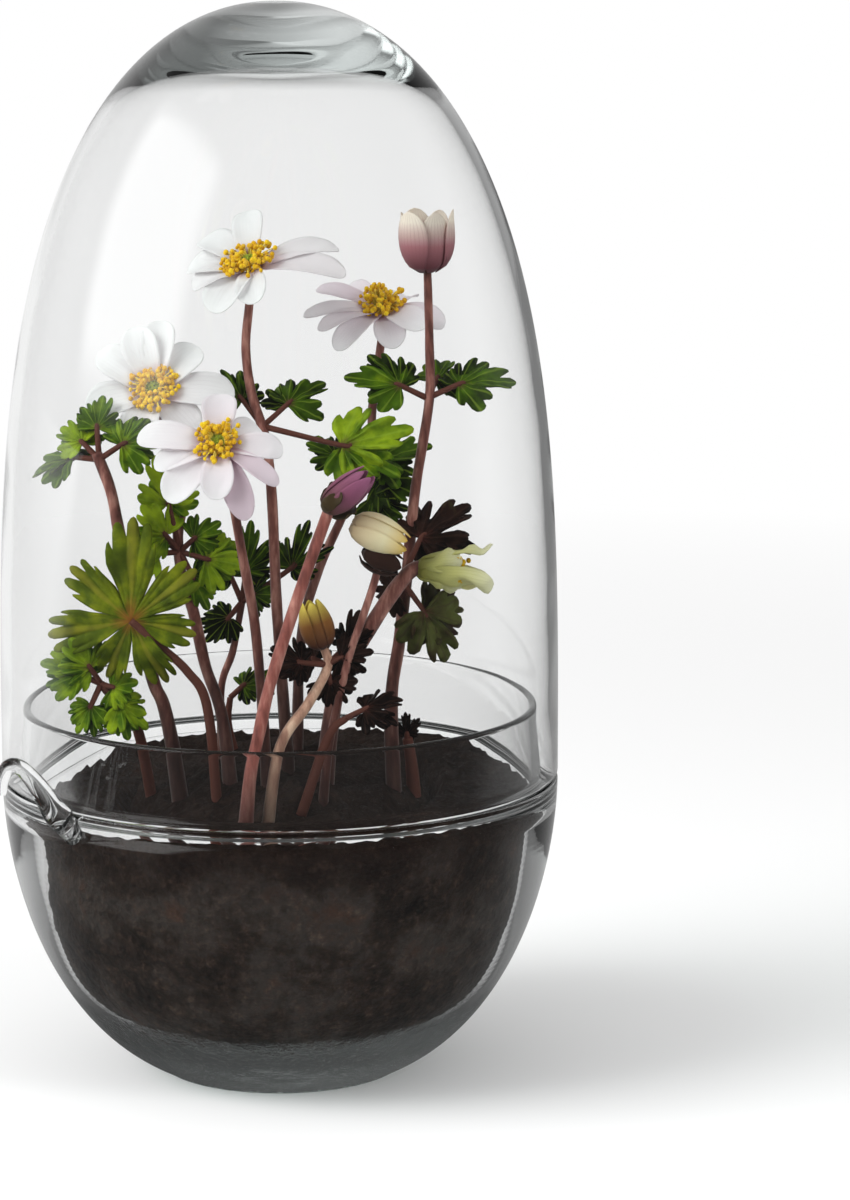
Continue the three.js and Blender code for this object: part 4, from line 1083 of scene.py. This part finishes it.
# %% Open flowers
TEPAL_WALL = 0.2
FLOWERS = {
    "top": (white_petal, (-6.5, 0, 203), (-0.25, -0.45, 0.85), [
        ((-15, -11.5, 193), 11, 0.5), ((-5.5, -14, 195.5), 8, 0.5), ((17, -4, 201.5), 8.5, 0.35),
        ((15, 6, 207), 8.5, 0.4), ((-7.5, 11.5, 216), 8, 0.5), ((-19, 11, 209), 9, 0.5),
        ((-22.5, 5, 202), 10, 0.5), ((-21, -3, 198), 8, 0.45)]),
    "right": (blushed_petal, (26.5, 19, 190), (-0.2, -0.5, 0.83), [
        ((6, 12, 189.5), 5.5, 0.45), ((10, 6, 186.5), 6, 0.4), ((14.5, 6, 181.5), 7.5, 0.5),
        ((29, 3.5, 182.5), 8, 0.45), ((36, 5, 187), 8, 0.5), ((41.5, 12, 187), 8, 0.4),
        ((33, 31, 192.5), 8, 0.4), ((9, 26, 195), 5, 0.3), ((16, 33, 194.5), 7, 0.4)]),
    "left": (white_petal, (-30.5, -4, 172.5), (-0.1, -0.8, 0.6), [
        ((-44.5, -0.5, 182), 9, 0.5), ((-36, 1.5, 188), 9, 0.5), ((-29, 3, 189.5), 8.5, 0.5),
        ((-19.5, 0, 183), 9, 0.5), ((-10.5, -6, 172), 9.5, 0.45), ((-47.5, -5.5, 168), 10, 0.5),
        ((-35, -12, 162), 9.5, 0.45), ((-20, -10, 163), 9, 0.4)]),
    "front": (blushed_petal, (-13.5, -26, 162), (-0.05, -0.7, 0.7), [
        ((-13.5, -18, 174), 8.5, 0.4), ((-4, -21, 166), 8, 0.5), ((2, -28, 161), 7.5, 0.45),
        ((-33.5, -24, 164), 8.5, 0.55), ((-29, -30, 157.5), 7, 0.5), ((-25.5, -35, 150), 9.5, 0.5),
        ((-13.5, -38.5, 151), 8, 0.45), ((-6.5, -38, 146), 7, 0.1), ((1, -35, 154), 5, 0.2)]),
}
for name, (look, centre, normal, tips) in FLOWERS.items():
    middle, front = Vector(centre), Vector(normal).normalized()
    shape = new_shape()
    for k, (tip, width, tone) in enumerate(tips):
        outward = Vector(tip) - middle
        base = middle + outward.normalized() * 2.2 + front * (0.3 + 0.25 * (k % 3))
        tepal(shape, base, Vector(tip), width, front, tone)
    thicken(shape, TEPAL_WALL)
    finish_piece(shape, f"tepals_{name}_petals", look, [f"tepals_{name}"])

# %% [markdown]
# Pollen is a matt golden powder on the ripe sacs, which are carried by pale yellow threads round a
# green seed cone. One material serves all three by their tone. It is rough, with a faint sheen,
# which gives the eye the softness of powder.

# %% Pollen material
stamen_look, tree = new_material("golden_pollen")
tone = add_node(tree, "Attribute", out="Fac", attribute_name="tone")
pollen = add_node(tree, "ValToRGB", [tone], 0, [
    (0.0, "7C8E1E"), (0.3, "A0A426"), (0.45, "ECD65E"), (0.7, "D8A008"), (1.0, "F8D024")])
grains = add_node(tree, "BsdfPrincipled", {
    "Base Color": pollen, "Roughness": 0.75, "Specular IOR Level": 0.2, "Sheen Weight": 0.2}, 0)
add_node(tree, "OutputMaterial", {"Surface": grains})
print(stamen_look.name)

# %% [markdown]
# The brush of stamens is dozens of fine threads, each with a pollen sac, round the cone of seeds.
# Each thread is a thin tube and each sac a small ball of a few faces, scattered with a seeded random
# draw. A thread is made in a small bmesh of its own, because bridging rings is slow in a large one.

# %% Stamens
THREAD_RADII = [0.2, 0.15]
CONE_BEADS = 60
CONE_RADIUS = 3.4


def bead(bm, place, size, tone_of):
    """A small ball of a few faces."""
    made = bmesh.ops.create_uvsphere(bm, u_segments=6, v_segments=4, radius=1.0,
                                     matrix=Matrix.LocRotScale(place, None, Vector([size] * 3)))
    tone = bm.verts.layers.float["tone"]
    for vert in made["verts"]:
        vert[tone] = tone_of


def add_shape(bm, part):
    """Moves a small bmesh into a larger one."""
    carrier = bpy.data.meshes.new("carrier")
    part.to_mesh(carrier)
    part.free()
    bm.from_mesh(carrier)
    bpy.data.meshes.remove(carrier)


def round_axis(angle, out, up):
    """A point at an angle round the Z axis."""
    return Vector((out * math.cos(angle), out * math.sin(angle), up))


def stamens(bm, centre, normal, spread, height, count, draw):
    """Scatters the threads and their sacs, and winds the seeds up the cone in a spiral."""
    turn = Vector((0, 0, 1)).rotation_difference(Vector(normal).normalized()).to_matrix()
    middle = Vector(centre)
    for _ in range(count):
        angle = draw.uniform(0, 2 * math.pi)
        out = spread * draw.uniform(0.3, 1.0)
        up = height * draw.uniform(0.55, 1.0) * (1.15 - 0.45 * (out / spread) ** 2)
        foot = turn @ round_axis(angle, 1.3, 1.2)
        head = turn @ round_axis(angle, out, up)
        knee = foot.lerp(head, 0.5) + turn @ Vector((0, 0, 0.8))
        thread = new_shape()
        course = smooth_path([middle + foot, middle + knee, middle + head], 4)
        tube(thread, course, THREAD_RADII, 5, (0.45, 0.5))
        bead(thread, middle + head, draw.uniform(0.5, 0.8), draw.uniform(0.65, 1.0))
        add_shape(bm, thread)
    for i in range(CONE_BEADS):
        angle, out = i * 2.4, CONE_RADIUS * math.sqrt(i / CONE_BEADS)
        seat = turn @ round_axis(angle, out, 3.0 - 0.2 * out * out)
        bead(bm, middle + seat, 0.6, 0.1 if out < 1.9 else draw.uniform(0.6, 0.9))


BRUSHES = {  # how far out the sacs reach, how high, and how many there are
    "top": (7.4, 4.6, 110), "right": (6.0, 6.4, 90),
    "left": (6.8, 4.2, 120), "front": (6.4, 4.6, 95)}
for name, (spread, height, count) in BRUSHES.items():
    _, centre, normal, _ = FLOWERS[name]
    shape = new_shape()
    stamens(shape, centre, normal, spread, height, count, random.Random(name))
    bmesh.ops.recalc_face_normals(shape, faces=shape.faces)
    finish_piece(shape, f"stamens_{name}_brush", stamen_look, [f"stamens_{name}"])

# %% [markdown]
# A closed bud is two rings of three tepals folded round each other. Each one is a strip of the bud's
# round side, narrow at its foot and rounded at its tip, and it leans out or in near the tip. So one
# shape makes tight buds and an opening one, and also the small sheaths and sepals below them.

# %% Bud tepals
def bud_side(v):
    """The bud's radius along its length, as a share of its widest."""
    return 0.34 + 0.66 * math.sin(math.pi * v ** 0.75) ** 0.8


def bud_tepal(bm, place_in, length, radius, angle, half_angle, lean, lift, tone, ruffle):
    """One folded tepal: a strip of the bud's round side, raised a little along its middle."""
    def place(u, s):
        v = 1 - (1 - s) ** 1.4
        half = half_angle * (0.45 * (1 - v) + v ** 0.6) * max(0, 1 - v ** 3.2) ** 0.55
        bearing = angle + half * u
        wave = noise.noise(Vector((bearing * 1.6, v * 4, radius)))
        r = radius * (bud_side(v * 0.86) + lean * v ** 3 + ruffle * wave * v)
        r += lift * (1 - 0.5 * abs(u))
        return place_in @ Vector((r * math.cos(bearing), r * math.sin(bearing), length * v))

    sheet(bm, 10, 14, place, tone)


def bud_frame(base, tip):
    """A frame whose Z axis runs from a bud's base to its tip, and the bud's length."""
    start, end = above_soil(base), above_soil(tip)
    turn = (end - start).to_track_quat("Z", "Y").to_matrix().to_4x4()
    return Matrix.Translation(start) @ turn, (end - start).length


print("bud outline", [round(bud_side(i / 10), 2) for i in range(10)])

# %% [markdown]
# There are five buds. The table gives each one's base and tip, its radius, how far its tepals lean
# out, how much they ruffle, how long the inner ring is, and its waxy petal material. The cream bud
# has a dark sheath below it, the purple one three sepals, and the opening one shows its stamens.

# %% Buds
BUD_WALL = 0.25
TEPAL_HALF_ANGLE = 0.85
MARK_TONE = -1.0  # the tone that a petal's material draws in its mark colour
BUDS = {
    "bud_tulip": ((37, -2, 131), (36.5, -2, 146.5), 6.6, 0.42, 0.0, 0.97, petal_material(
        "maroon_cream_bud", "5E1C2C", "B87880", "FDF3E6", "9A5560", 0.34, 0.72)),
    "bud_purple": ((12, -30, 76), (23, -32, 85.5), 4.0, -0.05, 0.0, 0.97, petal_material(
        "muted_purple_bud", "5A4028", "9A5674", "B87098", "74405A", 0.42, mark_hex="4A3A20")),
    "bud_cream": ((18.5, -26.5, 72.5), (32, -28, 67), 4.7, -0.15, 0.0, 0.97, petal_material(
        "cream_bud", "DCC09A", "FDF2CC", "F0C83C", "EAD4A4", 0.5, mark_hex="3A2018")),
    "bud_opening": ((34, -22, 60.5), (52.5, -21, 60), 4.0, 1.1, 0.9, 0.6, petal_material(
        "pale_green_bud", "7E7A1E", "CFCB82", "F4F0D4", "A8A458", 0.4, mark_hex="E2B81C")),
    "bud_yellow": ((11.5, -26, 41), (8, -25, 53), 4.2, -0.12, 0.0, 0.97, petal_material(
        "yellow_bud", "4E2420", "9A6430", "FAE668", "8A5A2C", 0.42, 0.9)),
}
for node, (base, tip, radius, lean, ruffle, inner, look) in BUDS.items():
    place_in, length = bud_frame(base, tip)
    shape = new_shape()
    for ring, (reach, girth, tone) in enumerate([(inner, 0.88, 0.4), (1, 1, 0.5)]):
        for k in range(3):
            angle = 2 * math.pi * (k + 0.5 * ring) / 3 + 0.4
            bud_tepal(shape, place_in, length * reach, radius * girth, angle, TEPAL_HALF_ANGLE,
                      lean, 0.15, tone, ruffle)
    if node == "bud_cream":
        sheath_in, sheath_length = bud_frame((21, -26.5, 65.5), (30.5, -26, 61.5))
        for k in range(4):
            bud_tepal(shape, sheath_in, sheath_length, 3.7, 2 * math.pi * k / 4, 0.9,
                      -0.1, 0.1, MARK_TONE, 0.1)
    if node == "bud_purple":
        for k in range(3):
            bud_tepal(shape, place_in, length * 0.5, radius * 1.08, 2 * math.pi * k / 3 + 0.9,
                      0.5, 0.2, 0.2, MARK_TONE, 0.5)
    thicken(shape, BUD_WALL)
    if node == "bud_opening":
        draw = random.Random(node)
        for _ in range(26):
            spot = [draw.uniform(low, high) for low, high in ((-3.4, 3.4), (-3.4, 3.4), (8, 13))]
            bead(shape, place_in @ Vector(spot), 0.7, MARK_TONE)
    finish_piece(shape, node + "_petals", look, [node])

# %% [markdown]
# Last, the Standard view shows a colour as it is written.

# %% Finish
scene.view_settings.view_transform = "Standard"
